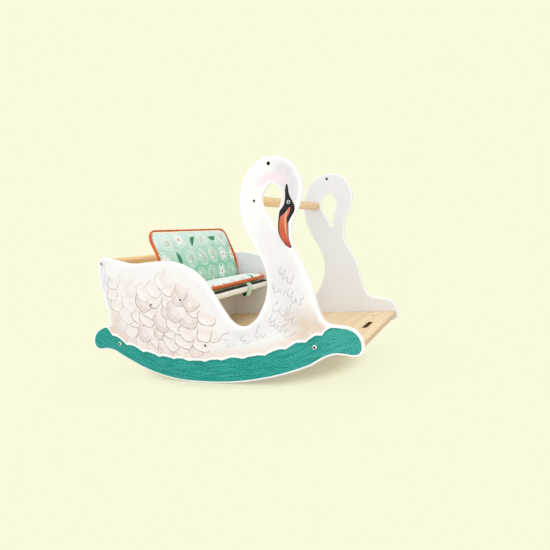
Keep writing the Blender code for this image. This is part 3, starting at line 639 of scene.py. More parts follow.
def wing_feathers(chance):
    """The wing's feathers, in rows that fan out from the head, the farthest and lowest first."""
    made = []
    for row in range(FEATHER_ROWS):
        away = FEATHER_ROW_FAR - row * FEATHER_ROW_STEP
        step = FEATHER_SPACE / away
        for number in range(int(0.90 / step)):
            draw = chance.random(6)
            angle = -1.12 + (number + 0.5 * (row % 2) + 0.5 * (draw[0] - 0.5)) * step
            reach = away + (draw[1] - 0.5) * 0.016
            centre = np.array(FAN_PIVOT) + reach * np.array((math.sin(angle), -math.cos(angle)))
            cluster = soft_oval(centre[None], (-0.115, 0.165), (0.145, 0.105), 0.16)[0]
            around = soft_oval(centre[None], (-0.120, 0.215), (0.185, 0.122), 0.16)[0]
            ink = max(cluster, 0.40 * around)
            if ink < 0.04:
                continue
            length = FEATHER_LENGTH * (0.84 + 0.36 * draw[2])
            width = FEATHER_WIDTH * (0.80 + 0.42 * draw[3])
            heading = angle + (draw[4] - 0.5) * 0.7
            made.append((centre, heading, length, width, row + 0.5 * (number % 2), ink, draw[5]))
    return made


def tail_feathers(chance):
    """Scallops down the tail, the lowest first."""
    made = []
    for row in range(6):
        for column in range(2):
            draw = chance.random(5)
            x = -0.312 + 0.040 * column + 0.010 * (row % 2) + 0.006 * (draw[0] - 0.5)
            centre = np.array((x, 0.128 + 0.031 * row + 0.010 * column))
            length = 0.050 * (0.90 + 0.25 * draw[1])
            width = 0.043 * (0.88 + 0.25 * draw[2])
            made.append((centre, -0.42 + 0.3 * (draw[3] - 0.5), length, width, row + 0.25 + 0.5 * column,
                         0.75 - 0.45 * column, draw[4]))
    return made


def tuft_feathers(chance):
    """Small groups of five drawn feathers on the breast and belly."""
    made = []
    for x, z, heading in TUFTS:
        for number in range(5):
            draw = chance.random(4)
            across = (number % 3 - 1 + 0.5 * (number // 3)) * TUFT_WIDTH * 0.85
            down = 0.011 * (number // 3)
            centre = np.array((x + across * math.cos(heading), z + across * math.sin(heading)))
            centre += down * np.array((math.sin(heading), -math.cos(heading))) + (draw[:2] - 0.5) * 0.009
            size = 0.55 + 0.80 * draw[2]
            turn = heading + (number % 3 - 1) * 0.35 + (draw[3] - 0.5) * 0.7
            made.append((centre, turn, TUFT_LENGTH * size, TUFT_WIDTH * size, number + 0.6, 0.50, -1.0))
    return made


def feather_rings(length, width, luck):
    """Rings of (across, along) points from a feather's outline to its middle, with their depth inside it."""
    rings = []
    for depth in (0.0, 0.0012, 0.0036, 0.5 * min(width, length)):
        ring = []
        for step in range(FEATHER_SIDES):
            turn = step * math.tau / FEATHER_SIDES
            wobble = 1 + 0.050 * math.sin(3 * turn + luck * 6.3) + 0.035 * math.sin(5 * turn + luck * 19)
            across = abs(math.sin(turn)) ** 0.85 * math.copysign(1, math.sin(turn))
            along = -abs(math.cos(turn)) ** 0.85 * math.copysign(1, math.cos(turn))
            shrink_across = max(0.0, 1 - 2 * depth / width)
            shrink_along = max(0.0, 1 - 2 * depth / length)
            a = across * (1 + 0.10 * along) * width / 2 * wobble * shrink_across
            b = along * length / 2 * wobble * shrink_along
            ring.append((a, b))
        rings.append((min(1.0, depth / 0.0048), ring))
    return rings


def make_feathers(side, outer, look, segments):
    """Thin printed films in the shape of feathers, each row lying over the one below it."""
    chance = np.random.default_rng(11 if side < 0 else 12)
    feathers = wing_feathers(chance) + tail_feathers(chance) + tuft_feathers(chance)
    points, faces, rows = [], [], []
    for centre, heading, length, width, level, ink, luck in feathers:
        down = np.array((math.sin(heading), -math.cos(heading)))
        sideways = np.array((math.cos(heading), math.sin(heading)))
        rings = feather_rings(length, width, luck)
        outline = np.array([centre + sideways * a + down * b for a, b in rings[0][1]])
        if border_distance(outline, segments).min() < FEATHER_CLEAR or inside_out(outline):
            continue
        start = len(points)
        for depth, ring in rings:
            for a, b in ring:
                points.append(centre + sideways * a + down * b)
                rows.append((1 - depth, b / length + 0.5, a, ink, luck, level))
        last = start + (len(rings) - 1) * FEATHER_SIDES
        for ring in range(start, last, FEATHER_SIDES):
            for number in range(FEATHER_SIDES):
                a, b = ring + number, ring + (number + 1) % FEATHER_SIDES
                faces.append((a, b, b + FEATHER_SIDES, a + FEATHER_SIDES))
        faces.append(tuple(range(last, last + FEATHER_SIDES)))
    points = np.array(points)
    rim, along, across, ink, luck, levels = np.array(rows).T
    depths = outer + side * (FEATHER_LIFT + levels * FEATHER_FILM)
    mesh = bpy.data.meshes.new("feathers")
    mesh.from_pydata([(p[0], y, p[1]) for p, y in zip(points, depths)], [], faces)
    if side > 0:
        mesh.flip_normals()
    carry_print(mesh, points, rim_distance(points, segments))
    carry(mesh, feather_rim=rim, feather_along=along, feather_across=across)
    carry(mesh, feather_ink=ink, feather_luck=luck)
    show(f"feather_print_{SIDES[side]}", mesh, look)


def carry_print(mesh, points, edge):
    """Keep on a mesh's points what the print's washes and water line need."""
    water = water_fields(points)
    carry(mesh, edge=edge, **water, **tone_fields(points, edge, points[:, 1] - water["water_z"]))


def inside_out(outline):
    """Whether a feather's outline lies outside the swan's own box or in its leg cut-out."""
    x, z = outline.mean(0)
    return x < REAR_TOE[0] or (LEG[0] - 0.06 < x < LEG[0] + 0.06 and z > LEG[1] + 0.01)


# Crests of the teal water line's scallops, from the rear toe to the front toe, in metres
WATER_CRESTS = [
    (-0.410, 0.176), (-0.352, 0.1530), (-0.310, 0.1200), (-0.255, 0.0957), (-0.201, 0.0785),
    (-0.148, 0.0685), (-0.102, 0.0655), (-0.051, 0.0602), (0.002, 0.0645), (0.057, 0.0714),
    (0.120, 0.0766), (0.183, 0.0930), (0.237, 0.1114), (0.287, 0.1290), (0.323, 0.1475),
    (0.370, 0.164), (0.412, 0.180),
]
WATER_SCALLOP_LEVEL = 0.0036
WATER_SCALLOP_SLOPED = 0.010
WATER_WHITE_LINE = 0.0064


def water_fields(points):
    """The water line at each point: its plain height, the count of scallops so far and their height."""
    crest_x, crest_z = np.array(WATER_CRESTS).T
    slope = np.abs(np.gradient(crest_z, crest_x))
    height = WATER_SCALLOP_LEVEL + WATER_SCALLOP_SLOPED * slope
    return {
        "water_z": np.interp(points[:, 0], crest_x, crest_z),
        "water_phase": np.interp(points[:, 0], crest_x, np.arange(len(crest_x))),
        "water_scallop": np.interp(points[:, 0], crest_x, height),
    }


def panel_cutter(side, inner):
    """Cutter for a panel's bolt holes, its head socket hole and its blind rail socket."""
    bm = bmesh.new()
    through = 3 * (PANEL_HIGH.y - PANEL_LOW.y)
    bolts = [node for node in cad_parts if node.endswith(f"_bolt_{SIDES[side]}")]
    holes = [(middle(f"head_socket_{SIDES[side]}"), SOCKET_HOLE_RADIUS, through)]
    holes += [(middle(node), BOLT_HOLE_RADIUS, through) for node in bolts]
    holes.append((middle("front_rail"), extent("front_rail").x / 2 + SMALL_GAP, 2 * RAIL_SOCKET_DEPTH))
    for centre, radius, depth in holes:
        y = inner if depth < through else side * (abs(inner) + 0.0075)
        place = Matrix.Translation((centre.x, y, centre.z)) @ QUARTER_TURN
        bmesh.ops.create_cone(
            bm, cap_ends=True, segments=40, radius1=radius, radius2=radius, depth=depth, matrix=place
        )
    return helper("panel cutter", to_mesh(bm, "panel cutter"))


def make_panel(side, looks):
    """One printed side panel: flat printed face, pale inner face and rounded white edges."""
    name = f"side_panel_{SIDES[side]}"
    low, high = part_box(name)
    inner, outer = (high.y, low.y) if side < 0 else (low.y, high.y)
    loops = [swan_outline(), from_anchor(HANDLE, NECK_HOLE + NECK_HOLE_BEAK_SIDE)]
    mesh = flat_curve(name, loops, high.y - low.y, EDGE_ROUND, straight=rocker_knots())
    mesh.transform(Matrix.Translation((0, (low.y + high.y) / 2, 0)))
    bm = bmesh.new()
    bm.from_mesh(mesh)
    grid_cap(bm, outer)
    segments = cap_border(bm, outer)
    mesh = cut(helper(name, to_mesh(bm, name)), panel_cutter(side, inner), name + "_shown")
    for face in mesh.polygons:
        depths = [mesh.vertices[v].co.y for v in face.vertices]
        flat_on = [all(abs(depth - y) < ON_FACE for depth in depths) for y in (outer, inner)]
        face.material_index = (flat_on + [True]).index(True)
        face.use_smooth = not any(flat_on)
    points = np.array([(v.co.x, v.co.z) for v in mesh.vertices])
    on_cap = np.array([abs(v.co.y - outer) < ON_FACE for v in mesh.vertices])
    edge = np.zeros(len(points))
    edge[on_cap] = rim_distance(points[on_cap], segments)
    carry_print(mesh, points, edge)
    make_feathers(side, outer, looks[0], segments)
    show(name + "_shown", mesh, looks, stands_for=[name])


def water_line(look):
    """Height of a point above the scalloped top of the teal, and above its plain line."""
    plain = look.attribute("water_z")
    scallop = abs((look.attribute("water_phase") * math.pi).math("COSINE")) - 1.0
    ragged = look.noise(look.x * 110, look.z * 60, detail=3.0, roughness=0.6) - 0.5
    above = look.z - plain
    return above - scallop * look.attribute("water_scallop") - ragged * 0.0056, above


def print_look():
    """The printed outer face: white plumage with drawn feathers over a teal water line."""
    look = Look("swan print", roughness=0.55, Specular_IOR_Level=0.3)
    x, z = look.x, look.z
    edge = look.attribute("edge")
    feather = [look.attribute("feather_" + part) for part in ("rim", "along", "across", "ink", "luck")]
    rim, along, across, ink, luck = feather
    brushed = look.noise(x * 150 - z * 40, z * 26, 2.0, detail=3.0)
    uneven = look.noise(x * 30, z * 30, 6.0, detail=3.0, roughness=0.6)
    look.colour = look.mix(look.attribute("body") * (0.55 + uneven * 0.9), PRINT_WHITE, BODY_GREY)
    look.paint(look.attribute("cool") * 0.5, COOL_WHITE)
    look.paint(look.attribute("lilac") * (0.5 + brushed), LILAC_GREY)
    look.paint(look.attribute("pink") * 0.85, PINK_TINT)
    look.paint(look.attribute("lavender") * brushed.step(0.35, 0.65), LAVENDER)
    tan = look.attribute("tan") * (0.35 + uneven * 1.3)
    look.paint(tan.math("MINIMUM", 1.0), TAN_TINT)

    warm = look.mix(luck, FEATHER_CREAM, FEATHER_PINK)
    filled = ink * along.step(0.12, 0.50) * luck.step(-0.6, -0.2)
    look.paint(filled * (0.35 + luck * 0.45), warm)
    barbs = look.noise(across * 700, along * 2.2, luck * 40, detail=2.0).step(0.50, 0.80)
    covered = along.step(0.86, 0.52) * along.step(0.20, 0.45)
    look.paint(filled * (covered * 0.46 + barbs * 0.14), FEATHER_SHADE)
    thick = look.noise(x * 80, z * 80, 2.0, detail=1.0).step(0.30, 0.65)
    line = rim.step(0.32, 0.72) * along.step(0.30, 0.56) * (0.50 + thick * 0.50)
    echo = abs(rim - 0.22).step(0.13, 0.05) * luck.step(0.55, 0.62) * along.step(0.5, 0.7)
    look.paint(ink * (line * 0.90 + echo * 0.25), FEATHER_LINE)
    look.paint(brushed.step(0.56, 0.82) * edge.step(0.005, 0.014) * 0.26, BRUSHED_GREY)
    above_water, above_arc = water_line(look)
    look.paint(above_water.step(0.034, 0.006) * 0.42, WATER_BLUSH)
    look.paint(above_water.step(WATER_WHITE_LINE + 0.001, WATER_WHITE_LINE - 0.001), PURE_WHITE)
    look.paint(edge.step(0.0028, 0.0016), EDGE_WHITE)

    streaks = look.noise(x * 16, above_arc * 210, 3.0, detail=3.0, roughness=0.6)
    grain = look.noise(x * 250, z * 250, detail=3.0, roughness=0.75)
    toward_beak = x.step(0.16, 0.36)
    teal = look.mix(streaks.step(0.50, 0.70) * 0.46 + toward_beak * 0.28, TEAL, TEAL_LIGHT)
    teal = look.mix(streaks.step(0.50, 0.34) * 0.85, teal, TEAL_DARK)
    teal = look.mix(grain.step(0.51, 0.62) * 0.62, teal, TEAL_LIGHT)
    teal = look.mix(grain.step(0.49, 0.38) * 0.60, teal, TEAL_DARK)
    teal = look.mix(above_water.step(-0.010, -0.001) * 0.45, teal, TEAL_DARK)
    look.paint(above_water.step(0.0006, -0.0006), teal)
    look.paint(edge.step(0.0016, 0.0006), EDGE_WHITE)
    look.bump(grain * 0.5 - ink * line * 0.3, 0.00008)
    return look.finish(look.colour, 0.50 + streaks * 0.10)


def inner_look():
    """Pale lacquered inner face, with the wood's grain faintly showing."""
    look = Look("inner face", roughness=0.5)
    grain = look.noise(look.x * 8, look.z * 130, detail=4.0, roughness=0.6)
    fine = look.noise(look.x * 60, look.z * 900, detail=2.0)
    colour = look.mix(grain.step(0.35, 0.75) * 0.16, INNER_WHITE, INNER_GRAIN)
    look.bump(grain * 0.5 + fine * 0.5, 0.00006)
    return look.finish(colour)


def edge_look():
    """White lacquer on the rounded edges, thin enough for the plies to show a little."""
    look = Look("panel edge", roughness=0.38, Coat_Weight=0.15, Coat_Roughness=0.25)
    plies = (look.y * (math.tau / 0.0030)).math("SINE").step(-0.4, 0.9)
    grain = look.noise(*look.at(300, 900, 300), detail=2.0)
    colour = look.mix(plies * 0.06 + grain * 0.05, EDGE_WHITE, EDGE_PLY)
    look.bump(grain, 0.00004)
    return look.finish(colour)


# Beak and eye, in millimetres from the middle of the eye
EYE = (0.2471, 0.4503)
BEAK_BACK = [
    (-0.5, 42), (-5, 35), (-7, 19), (-9, 5), (-13, -6), (-20, -14), (-25, -20), (-28, -33), (-30.5, -45)
]
BEAK_FRONT = [(-32, -58), (-31.5, -69), (-28, -82), (-21, -94), (-12, -104), (-1.8, -107.5)]
BEAK_MOUTH = [(-2.4, -100), (-5.5, -88), (-5.9, -76), (-4.9, -62), (-4.3, -49)]
BEAK_LOBE = [
    (1, -40), (6, -33), (12.5, -24), (14.6, -17), (13.6, -8), (9.6, 2), (5, 12), (2.2, 23), (1.4, 36)
]
BILL_TOP = [(2.2, -12.5), (-3, -17), (-9.3, -23), (-15.7, -27.7), (-22.6, -32), (-26, -39), (-28.2, -50)]
BILL_FRONT = [(-29.3, -60), (-28, -74), (-24.3, -86), (-16.5, -97.5), (-8.5, -104.5), (-3.6, -104.5)]
BILL_MOUTH = [(-4.8, -95), (-6.4, -86), (-6.6, -74), (-6.2, -62), (-6, -52), (-7.6, -46), (-7.6, -39)]
BILL_LOBE = [(-5.6, -34), (-1.8, -28), (1.9, -20.7), (3.2, -16)]
PRINT_FILM = 0.00012


def flat_print(name, points, side, depth, look):
    """A thin printed shape on a panel's outer face; depth counts the films below it."""
    outer = side * abs(PANEL_LOW.y)
    mesh = flat_curve(name, [points], PRINT_FILM, 0.0, 6)
    mesh.transform(Matrix.Translation((0, outer + side * PRINT_FILM * (depth + 0.55), 0)))
    show(f"{name}_{SIDES[side]}", smooth(mesh), look)


def circle_knots(centre, radius, count=8):
    """Knots round a circle in the XZ plane."""
    turns = [number * math.tau / count for number in range(count)]
    return [(centre[0] + radius * math.cos(t), centre[1] + radius * math.sin(t)) for t in turns]


def beak_black_look():
    """Painted black with brush strokes of dark grey."""
    look = Look("beak black", roughness=0.45, Specular_IOR_Level=0.35)
    strokes = look.noise(look.x * 110 + look.z * 90, look.z * 260 - look.x * 120, detail=3.0)
    colour = look.mix(strokes.step(0.50, 0.80) * 0.55, BEAK_BLACK, BEAK_GREY)
    look.bump(strokes, 0.00005)
    return look.finish(colour)


def bill_look():
    """Painted orange bill: pink at the top and along the mouth, redder and darker toward the tip."""
    look = Look("bill orange", roughness=0.38, Coat_Weight=0.12, Coat_Roughness=0.3)
    x = look.x - EYE[0]
    z = look.z - EYE[1]
    strokes = look.noise(x * 420 + z * 60, z * 60 - x * 20, detail=3.0)
    look.colour = look.mix(strokes.step(0.35, 0.70), BILL_ORANGE, BILL_STROKE)
    look.paint(z.step(-0.060, -0.020), BILL_PINK)
    bend = x + 0.0095 + (z + 0.060) * (z + 0.060) * 4.0 * -1
    mouth = bend.step(-0.001, 0.005) * z.step(-0.100, -0.075)
    look.paint(mouth * 0.75, BILL_MOUTH_PINK)
    streak = abs(bend + 0.0035).step(0.0032, 0.0006) * z.step(-0.090, -0.060)
    look.paint(streak * (0.45 + strokes * 0.5), BILL_CREAM)
    look.paint(z.step(-0.082, -0.104) * 0.8, BILL_RED)
    look.bump(strokes, 0.00005)
    return look.finish(look.colour)


def make_beak(side, black, bill, white):
    """Printed beak and eye on one outer face."""
    beak = from_anchor(EYE, BEAK_BACK + BEAK_FRONT + BEAK_MOUTH + BEAK_LOBE)
    flat_print("beak_print", beak, side, 0, black)
    orange = from_anchor(EYE, BILL_TOP + BILL_FRONT + BILL_MOUTH + BILL_LOBE)
    flat_print("bill_print", orange, side, 1, bill)
    for number, (name, away, radius, look) in enumerate((
        ("eye_ring_print", (0, 0), 4.4, white),
        ("eye_pupil_print", (0.5, 0), 3.3, black),
        ("eye_light_print", (1.7, 0.6), 1.2, white),
    )):
        flat_print(name, circle_knots(from_anchor(EYE, [away])[0], radius * MM), side, number + 1, look)


def plywood_look(name, thin, tint=PLYWOOD, grain_tint=PLYWOOD_GRAIN, board=None):
    """Clear-lacquered plywood: long grain along Y on its faces and thin plies on its edges.

    thin names the axis across the board's thickness; the walls of a named board's holes are painted dark
    brown as painted shade.
    """
    look = Look(name, roughness=0.42, Coat_Weight=0.18, Coat_Roughness=0.22)
    across = look.x if thin != "x" else look.z
    normals = dict(zip("xyz", look.normal()))
    waver = look.noise(*look.at(5, 3, 5), detail=2.0) - 0.5
    rings = look.noise((across + waver * 0.02) * 46, look.y * 1.6, 2.0, detail=3.0, roughness=0.55)
    fibres = look.noise(across * 620, look.y * 14, 5.0, detail=3.0)
    face = look.mix(rings.step(0.36, 0.68) * 0.75, tint, grain_tint)
    face = look.mix(fibres.step(0.45, 0.80) * 0.30, face, PLYWOOD_FIBRE)
    layer = {"x": look.x, "y": look.y, "z": look.z}[thin]
    plies = (layer * (math.tau / 0.0028)).math("SINE").step(-0.15, 0.15)
    speckle = look.noise(*look.at(500, 500, 500), detail=2.0)
    edge = look.mix(plies * 0.75 + speckle * 0.15, PLYWOOD_PALE_PLY, PLYWOOD_DARK_PLY)
    # Painted shade: the walls of the board's holes are painted dark brown, away from the board's two ends.
    if board:
        half = extent(board).x / 2
        edge = look.mix(abs(look.x - middle(board).x).step(half - 0.006, half - 0.010), edge, HOLE_PAINTED_SHADE)
    colour = look.mix(abs(normals[thin]).step(0.75, 0.60), face, edge)
    look.bump(fibres * 0.6 + rings * 0.4, 0.00010)
    return look.finish(colour, 0.38 + fibres * 0.14)


def beech_look():
    """Lacquered beech dowel with short dark flecks along its length."""
    look = Look("beech", roughness=0.40, Coat_Weight=0.12, Coat_Roughness=0.25)
    bands = look.noise(*look.at(120, 3.5, 120), detail=3.0)
    flecks = look.noise(*look.at(700, 60, 700), detail=2.0)
    look.colour = look.mix(bands.step(0.35, 0.70) * 0.8, BEECH, BEECH_GRAIN)
    look.paint(flecks.step(0.60, 0.74) * 0.45, BEECH_FLECK)
    look.bump(flecks * 0.5 + bands * 0.5, 0.00008)
    return look.finish(look.colour, 0.36 + bands * 0.12)


def steel_look(name, colour, roughness):
    """Plated steel with a fine speckled relief and small dull spots."""
    look = Look(name, roughness=roughness, metallic=1.0)
    spots = look.noise(*look.at(900, 900, 900), detail=3.0)
    tint = look.mix(spots.step(0.45, 0.75) * 0.5, colour, tuple(value * 0.72 for value in colour))
    look.bump(spots, 0.00003)
    return look.finish(tint, roughness + spots * 0.15)


DOWEL_SOFT_END = 0.0012


def make_dowel(name, look):
    """A fine round dowel with softened ends, where the CAD dowel is."""
    radius, half = extent(name).x / 2, extent(name).y / 2
    profile = [(0, half)]
    for in_side, in_end in ((1, 0), (0.35, 0.25), (0, 1)):
        profile.append((radius - DOWEL_SOFT_END * in_side, half - DOWEL_SOFT_END * in_end))
    profile += [(r, -h) for r, h in reversed(profile)]
    mesh = turned(name + "_shown", profile)
    mesh.transform(Matrix.Translation(middle(name)) @ QUARTER_TURN)
    show(name + "_shown", mesh, look, stands_for=[name])


HEX_WIDTH = 0.0055
HEX_DEPTH = 0.0019
BOLT_HEAD = 0.0024
BOLT_SHANK = 0.003
# Shares of the head's radius and height, from its flat top down
BOLT_DOME = [(0.60, 0), (0.80, 0.12), (0.94, 0.36), (1, 0.70), (0.985, 0.97), (0.93, 1)]


def make_bolt(node, looks):
    """A connector bolt's domed head with its hex socket, and its shank in the board."""
    low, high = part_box(node)
    side = -1 if middle(node).y < 0 else 1
    outer = low.y if side < 0 else high.y
    radius, length = (high.x - low.x) / 2, high.y - low.y
    profile = [(0, 0)] + [(radius * share, -BOLT_HEAD * drop) for share, drop in BOLT_DOME]
    profile += [(BOLT_SHANK, -BOLT_HEAD), (BOLT_SHANK, 0.0010 - length)]
    profile += [(BOLT_SHANK - 0.0008, -length), (0, -length)]
    blank = helper(node, turned(node + "_blank", profile, 48))
    bm = bmesh.new()
    corner = HEX_WIDTH / math.cos(math.pi / 6) / 2
    bmesh.ops.create_cone(bm, cap_ends=True, segments=6, radius1=corner, radius2=corner, depth=2 * HEX_DEPTH)
    mesh = cut(blank, helper("socket", to_mesh(bm, "socket")), node + "_shown")
    # The faces inside the hex socket take the second material: near-black steel as painted shade in the
    # recess.
    for face in mesh.polygons:
        x, y, z = face.center
        if -HEX_DEPTH - 0.0001 < z < -0.00005 and math.hypot(x, y) < corner:
            face.material_index = 1
    smooth(mesh, 30)
    place = Matrix.Translation((middle(node).x, outer, middle(node).z))
    mesh.transform(place @ Matrix.Rotation(-side * math.pi / 2, 4, "X"))
    mesh.update()
    show(node + "_shown", mesh, looks, stands_for=[node])


SLEEVE_ROWS = 120
SLEEVE_SIDES = 56
SLEEVE_SOFT_END = 0.004
SLEEVE_HEM = 0.0004
SLEEVE_RIPPLE = 0.00035


def make_sleeve(look):
    """Striped cloth sleeve on the front rail: a thin tube with turned-in, slightly gathered ends."""
    rail = extent("front_rail").x / 2 + SMALL_GAP
    full = extent("rail_sleeve").x / 2 - rail
    half = extent("rail_sleeve").y / 2
    tubes = []
    for inside in (False, True):
        tube = []
        for row in range(SLEEVE_ROWS + 1):
            along = -half + row * 2 * half / SLEEVE_ROWS
            end = min(1.0, (half - abs(along)) / SLEEVE_SOFT_END)
            thick = full * math.sqrt(max(0.0, 1 - (1 - end) ** 2))
            ring = []
            for number in range(SLEEVE_SIDES):
                turn = number * math.tau / SLEEVE_SIDES
                ripple = SLEEVE_RIPPLE * math.sin(3 * turn + along * 90) * math.sin(along * 47 + 1.0)
                radius = rail if inside else rail + max(SLEEVE_HEM, thick - SLEEVE_HEM + ripple)
                ring.append((radius * math.cos(turn), along, radius * math.sin(turn)))
            tube.append(ring)
        tubes.append(tube)
    mesh = cleaned(loft("rail_sleeve_shown", tubes[0] + tubes[1][::-1]))
    mesh.transform(Matrix.Translation(middle("rail_sleeve")))
    show(mesh.name, smooth(mesh), look, stands_for=["rail_sleeve"])


def weave(look, u, v, pitch):
    """Relief of a plain weave from 0 to 1."""
    over = (u * (math.pi / pitch)).math("SINE")
    under = (v * (math.pi / pitch)).math("SINE")
    return over * under * 0.5 + 0.5


def sleeve_look():
    """Mint cotton with a cream band and a dark green stripe along the front of the rail."""
    look = Look("striped sleeve", roughness=0.8, Sheen_Weight=0.04, Sheen_Roughness=0.4)
    centre = middle("rail_sleeve")
    angle = (look.z - centre.z).math("ARCTAN2", look.x - centre.x) * (180 / math.pi)
    angle = angle + (look.noise(look.y * 40, 1.0, detail=1.0) - 0.5) * 6.0
    white = look.mix(look.noise(*look.at(90, 90, 90)).step(0.4, 0.7), PURE_WHITE, SLEEVE_WHITE)
    look.colour = look.mix(angle.step(-62.0, -50.0), MINT, white)
    look.paint(angle.step(23.0, 25.0), STRIPE_GREEN)
    look.paint(angle.step(70.0, 73.0), STRIPE_CREAM)
    look.paint(angle.step(118.0, 121.0), MINT)
    threads = weave(look, look.y, angle * (0.0145 * math.pi / 180), 0.0007)
    look.bump(threads, 0.00012)
    return look.finish(look.colour)


STRAP_THICKNESS = 0.0014
STRAP_DROP = 0.028
STRAP_FOOT = 0.008


def strap_loop(radius, foot_radius, upper=48, lower=24):
    """Teardrop loop round the rail: half a circle above, straight sides and a small arc below."""
    arm = STRAP_DROP - STRAP_FOOT
    tilt = math.asin((radius - foot_radius) / arm)
    points = []
    for step in range(upper + 1):
        turn = -tilt + step * (math.pi + 2 * tilt) / upper
        points.append((radius * math.cos(turn), radius * math.sin(turn)))
    for step in range(lower + 1):
        turn = math.pi + tilt + step * (math.pi - 2 * tilt) / lower
        points.append((foot_radius * math.cos(turn), foot_radius * math.sin(turn) - arm))
    return points


def make_strap(looks, thread):
    """Soft strap loop with rolled edges and two rows of stitches."""
    rail, strap = middle("front_rail"), middle("toy_strap")
    outer_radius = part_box("toy_strap")[1].z - rail.z
    half = extent("toy_strap").y / 2
    across = [-1.0, -0.97, -0.90, -0.80, -0.5, 0.0, 0.5, 0.80, 0.90, 0.97, 1.0]
    rings = []
    for outside in (True, False):
        for share in across if outside else across[::-1]:
            edge = math.sqrt(max(0.0, 1 - max(0.0, (abs(share) - 0.86) / 0.14) ** 2))
            depth = STRAP_THICKNESS / 2 * (1 - edge)
            away = depth if outside else STRAP_THICKNESS - depth
            loop = strap_loop(outer_radius - away, STRAP_FOOT - away)
            rings.append([(rail.x + px, strap.y + share * half, rail.z + pz) for px, pz in loop])
    mesh = loft("toy_strap_shown", rings)
    for number, face in enumerate(mesh.polygons):
        ring = number // len(rings[0])
        face.material_index = int(len(across) - 1 <= ring < 2 * len(across) - 1)
    show(mesh.name, smooth(cleaned(mesh), 50), looks, "strap", ["toy_strap"])
    make_strap_stitches(outer_radius, half, rail, strap.y, thread)


STITCH_RADIUS = 0.00022
STITCH_LEAST = 0.0004
STITCH_INSET = 0.0026
STITCH_LIFT = 0.00005


def make_strap_stitches(outer_radius, half, rail, y_middle, thread):
    """Short stitches along both edges of the strap's outer side."""
    loop = strap_loop(outer_radius + STITCH_LIFT, STRAP_FOOT + STITCH_LIFT, 60, 30)
    bm = bmesh.new()
    for side in (-1, 1):
        y = y_middle + side * (half - STITCH_INSET)
        places = [Vector((rail.x + px, y, rail.z + pz)) for px, pz in loop]
        for start, end in zip(places[:-1:2], places[1::2]):
            run = end - start
            if run.length < STITCH_LEAST:
                continue
            turn = run.to_track_quat("Z", "Y").to_matrix().to_4x4()
            size = Matrix.Diagonal((STITCH_RADIUS, STITCH_RADIUS, run.length * 0.5, 1.0))
            place = Matrix.Translation((start + end) / 2) @ turn @ size
            bmesh.ops.create_uvsphere(bm, u_segments=8, v_segments=6, radius=1.0, matrix=place)
    show("strap_stitches", smooth(to_mesh(bm, "strap_stitches")), thread, "strap")


def cloth_look(name, colour, fleck, pitch=0.0008):
    """Plain woven cloth with slightly uneven colour."""
    look = Look(name, roughness=0.88, Sheen_Weight=0.08, Sheen_Roughness=0.4)
    uneven = look.noise(*look.at(160, 160, 160), detail=3.0)
    tint = look.mix(uneven.step(0.35, 0.70) * 0.7, colour, fleck)
    threads = weave(look, look.y, look.x + look.z, pitch)
    look.bump(threads * 0.7 + uneven * 0.3, 0.00018)
    return look.finish(tint)


def make_press_stud(metal):
    """Fine versions of the press stud's cap and stud."""
    for node, profile_of in (("strap_snap_cap", cap_profile), ("strap_snap_stud", stud_profile)):
        low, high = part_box(node)
        centre = (low + high) / 2
        mesh = turned(node + "_shown", profile_of((high.x - low.x) / 2, high.z - low.z), 40)
        mesh.transform(Matrix.Translation((centre.x, centre.y, low.z)))
        show(node + "_shown", mesh, metal, "strap", [node])


def cap_profile(radius, height):
    """Domed cap that shows below the strap, from its flat top down."""
    points = [(0, height), (radius * 0.92, height), (radius, height * 0.86), (radius * 0.97, height * 0.6)]
    for share in (0.85, 0.65, 0.4, 0.2):
        points.append((radius * share, height * 0.28 * share**2))
    return points + [(0, 0)]


def stud_profile(radius, height):
    """Stud inside the loop: a small knob on a flange, with its post in the strap."""
    knob, post, flange = radius * 0.70, 0.0011, height - 0.0020
    return [
        (0, height), (knob * 0.8, height), (knob, height - 0.0005), (knob * 0.86, height - 0.0011),
        (radius, height - 0.0013), (radius, flange), (post, flange), (post, 0), (0, 0),
    ]


# Padded mat, with the CAD pads' places
SEAT_TOP_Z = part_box("seat_board")[1].z
BACKREST_LEAN = math.radians(15.5)
BACKREST_FOOT_X = -0.163
BACKREST_THICKNESS = 0.012
PAD_GAP = SMALL_GAP
BACK_PAD_LIFT = 0.002
SEAT_PAD_REAR_X = -0.135
SEAT_PAD_LENGTH = 0.093
SEAT_SEAMS = (0.0085, 0.0085, 0.0)
SEAT_PAD_CORNER = 0.022
BACK_PAD_LENGTH = 0.178
BACK_SEAMS = (0.0115, 0.002, 0.0125)
BACK_PAD_CORNER = 0.030
PAD_WIDTH = 0.424
PAD_DRAW_IN = 0.003
PIPING_DIAMETER = 0.0048


# Frames of the pads: local X through the pad's thickness and local Z away from the crease
SEAT_FRAME = Matrix.Translation((SEAT_PAD_REAR_X, 0, SEAT_TOP_Z + PAD_GAP)) @ Matrix(
    ((0, 0, 1, 0), (0, -1, 0, 0), (1, 0, 0, 0), (0, 0, 0, 1))
)
BACK_FRAME = (
    Matrix.Translation((BACKREST_FOOT_X, 0, SEAT_TOP_Z + PAD_GAP))
    @ Matrix.Rotation(-BACKREST_LEAN, 4, "Y")
    @ Matrix.Translation((BACKREST_THICKNESS + PAD_GAP, 0, BACK_PAD_LIFT))
)


PAD_VOXEL = 0.0048
PAD_SHRINK = 0.0012
PAD_FRAMES = 20
SEAM_HOLD = 0.007
PAD_CLOTH = {
    "quality": 6,
    "mass": 0.15,
    "tension_stiffness": 18,
    "compression_stiffness": 12,
    "shear_stiffness": 6,
    "bending_stiffness": 0.35,
    "use_pressure": True,
    "uniform_pressure_force": 4.0,
    "vertex_group_mass": "seam",
    "pin_stiffness": 2.0,
}


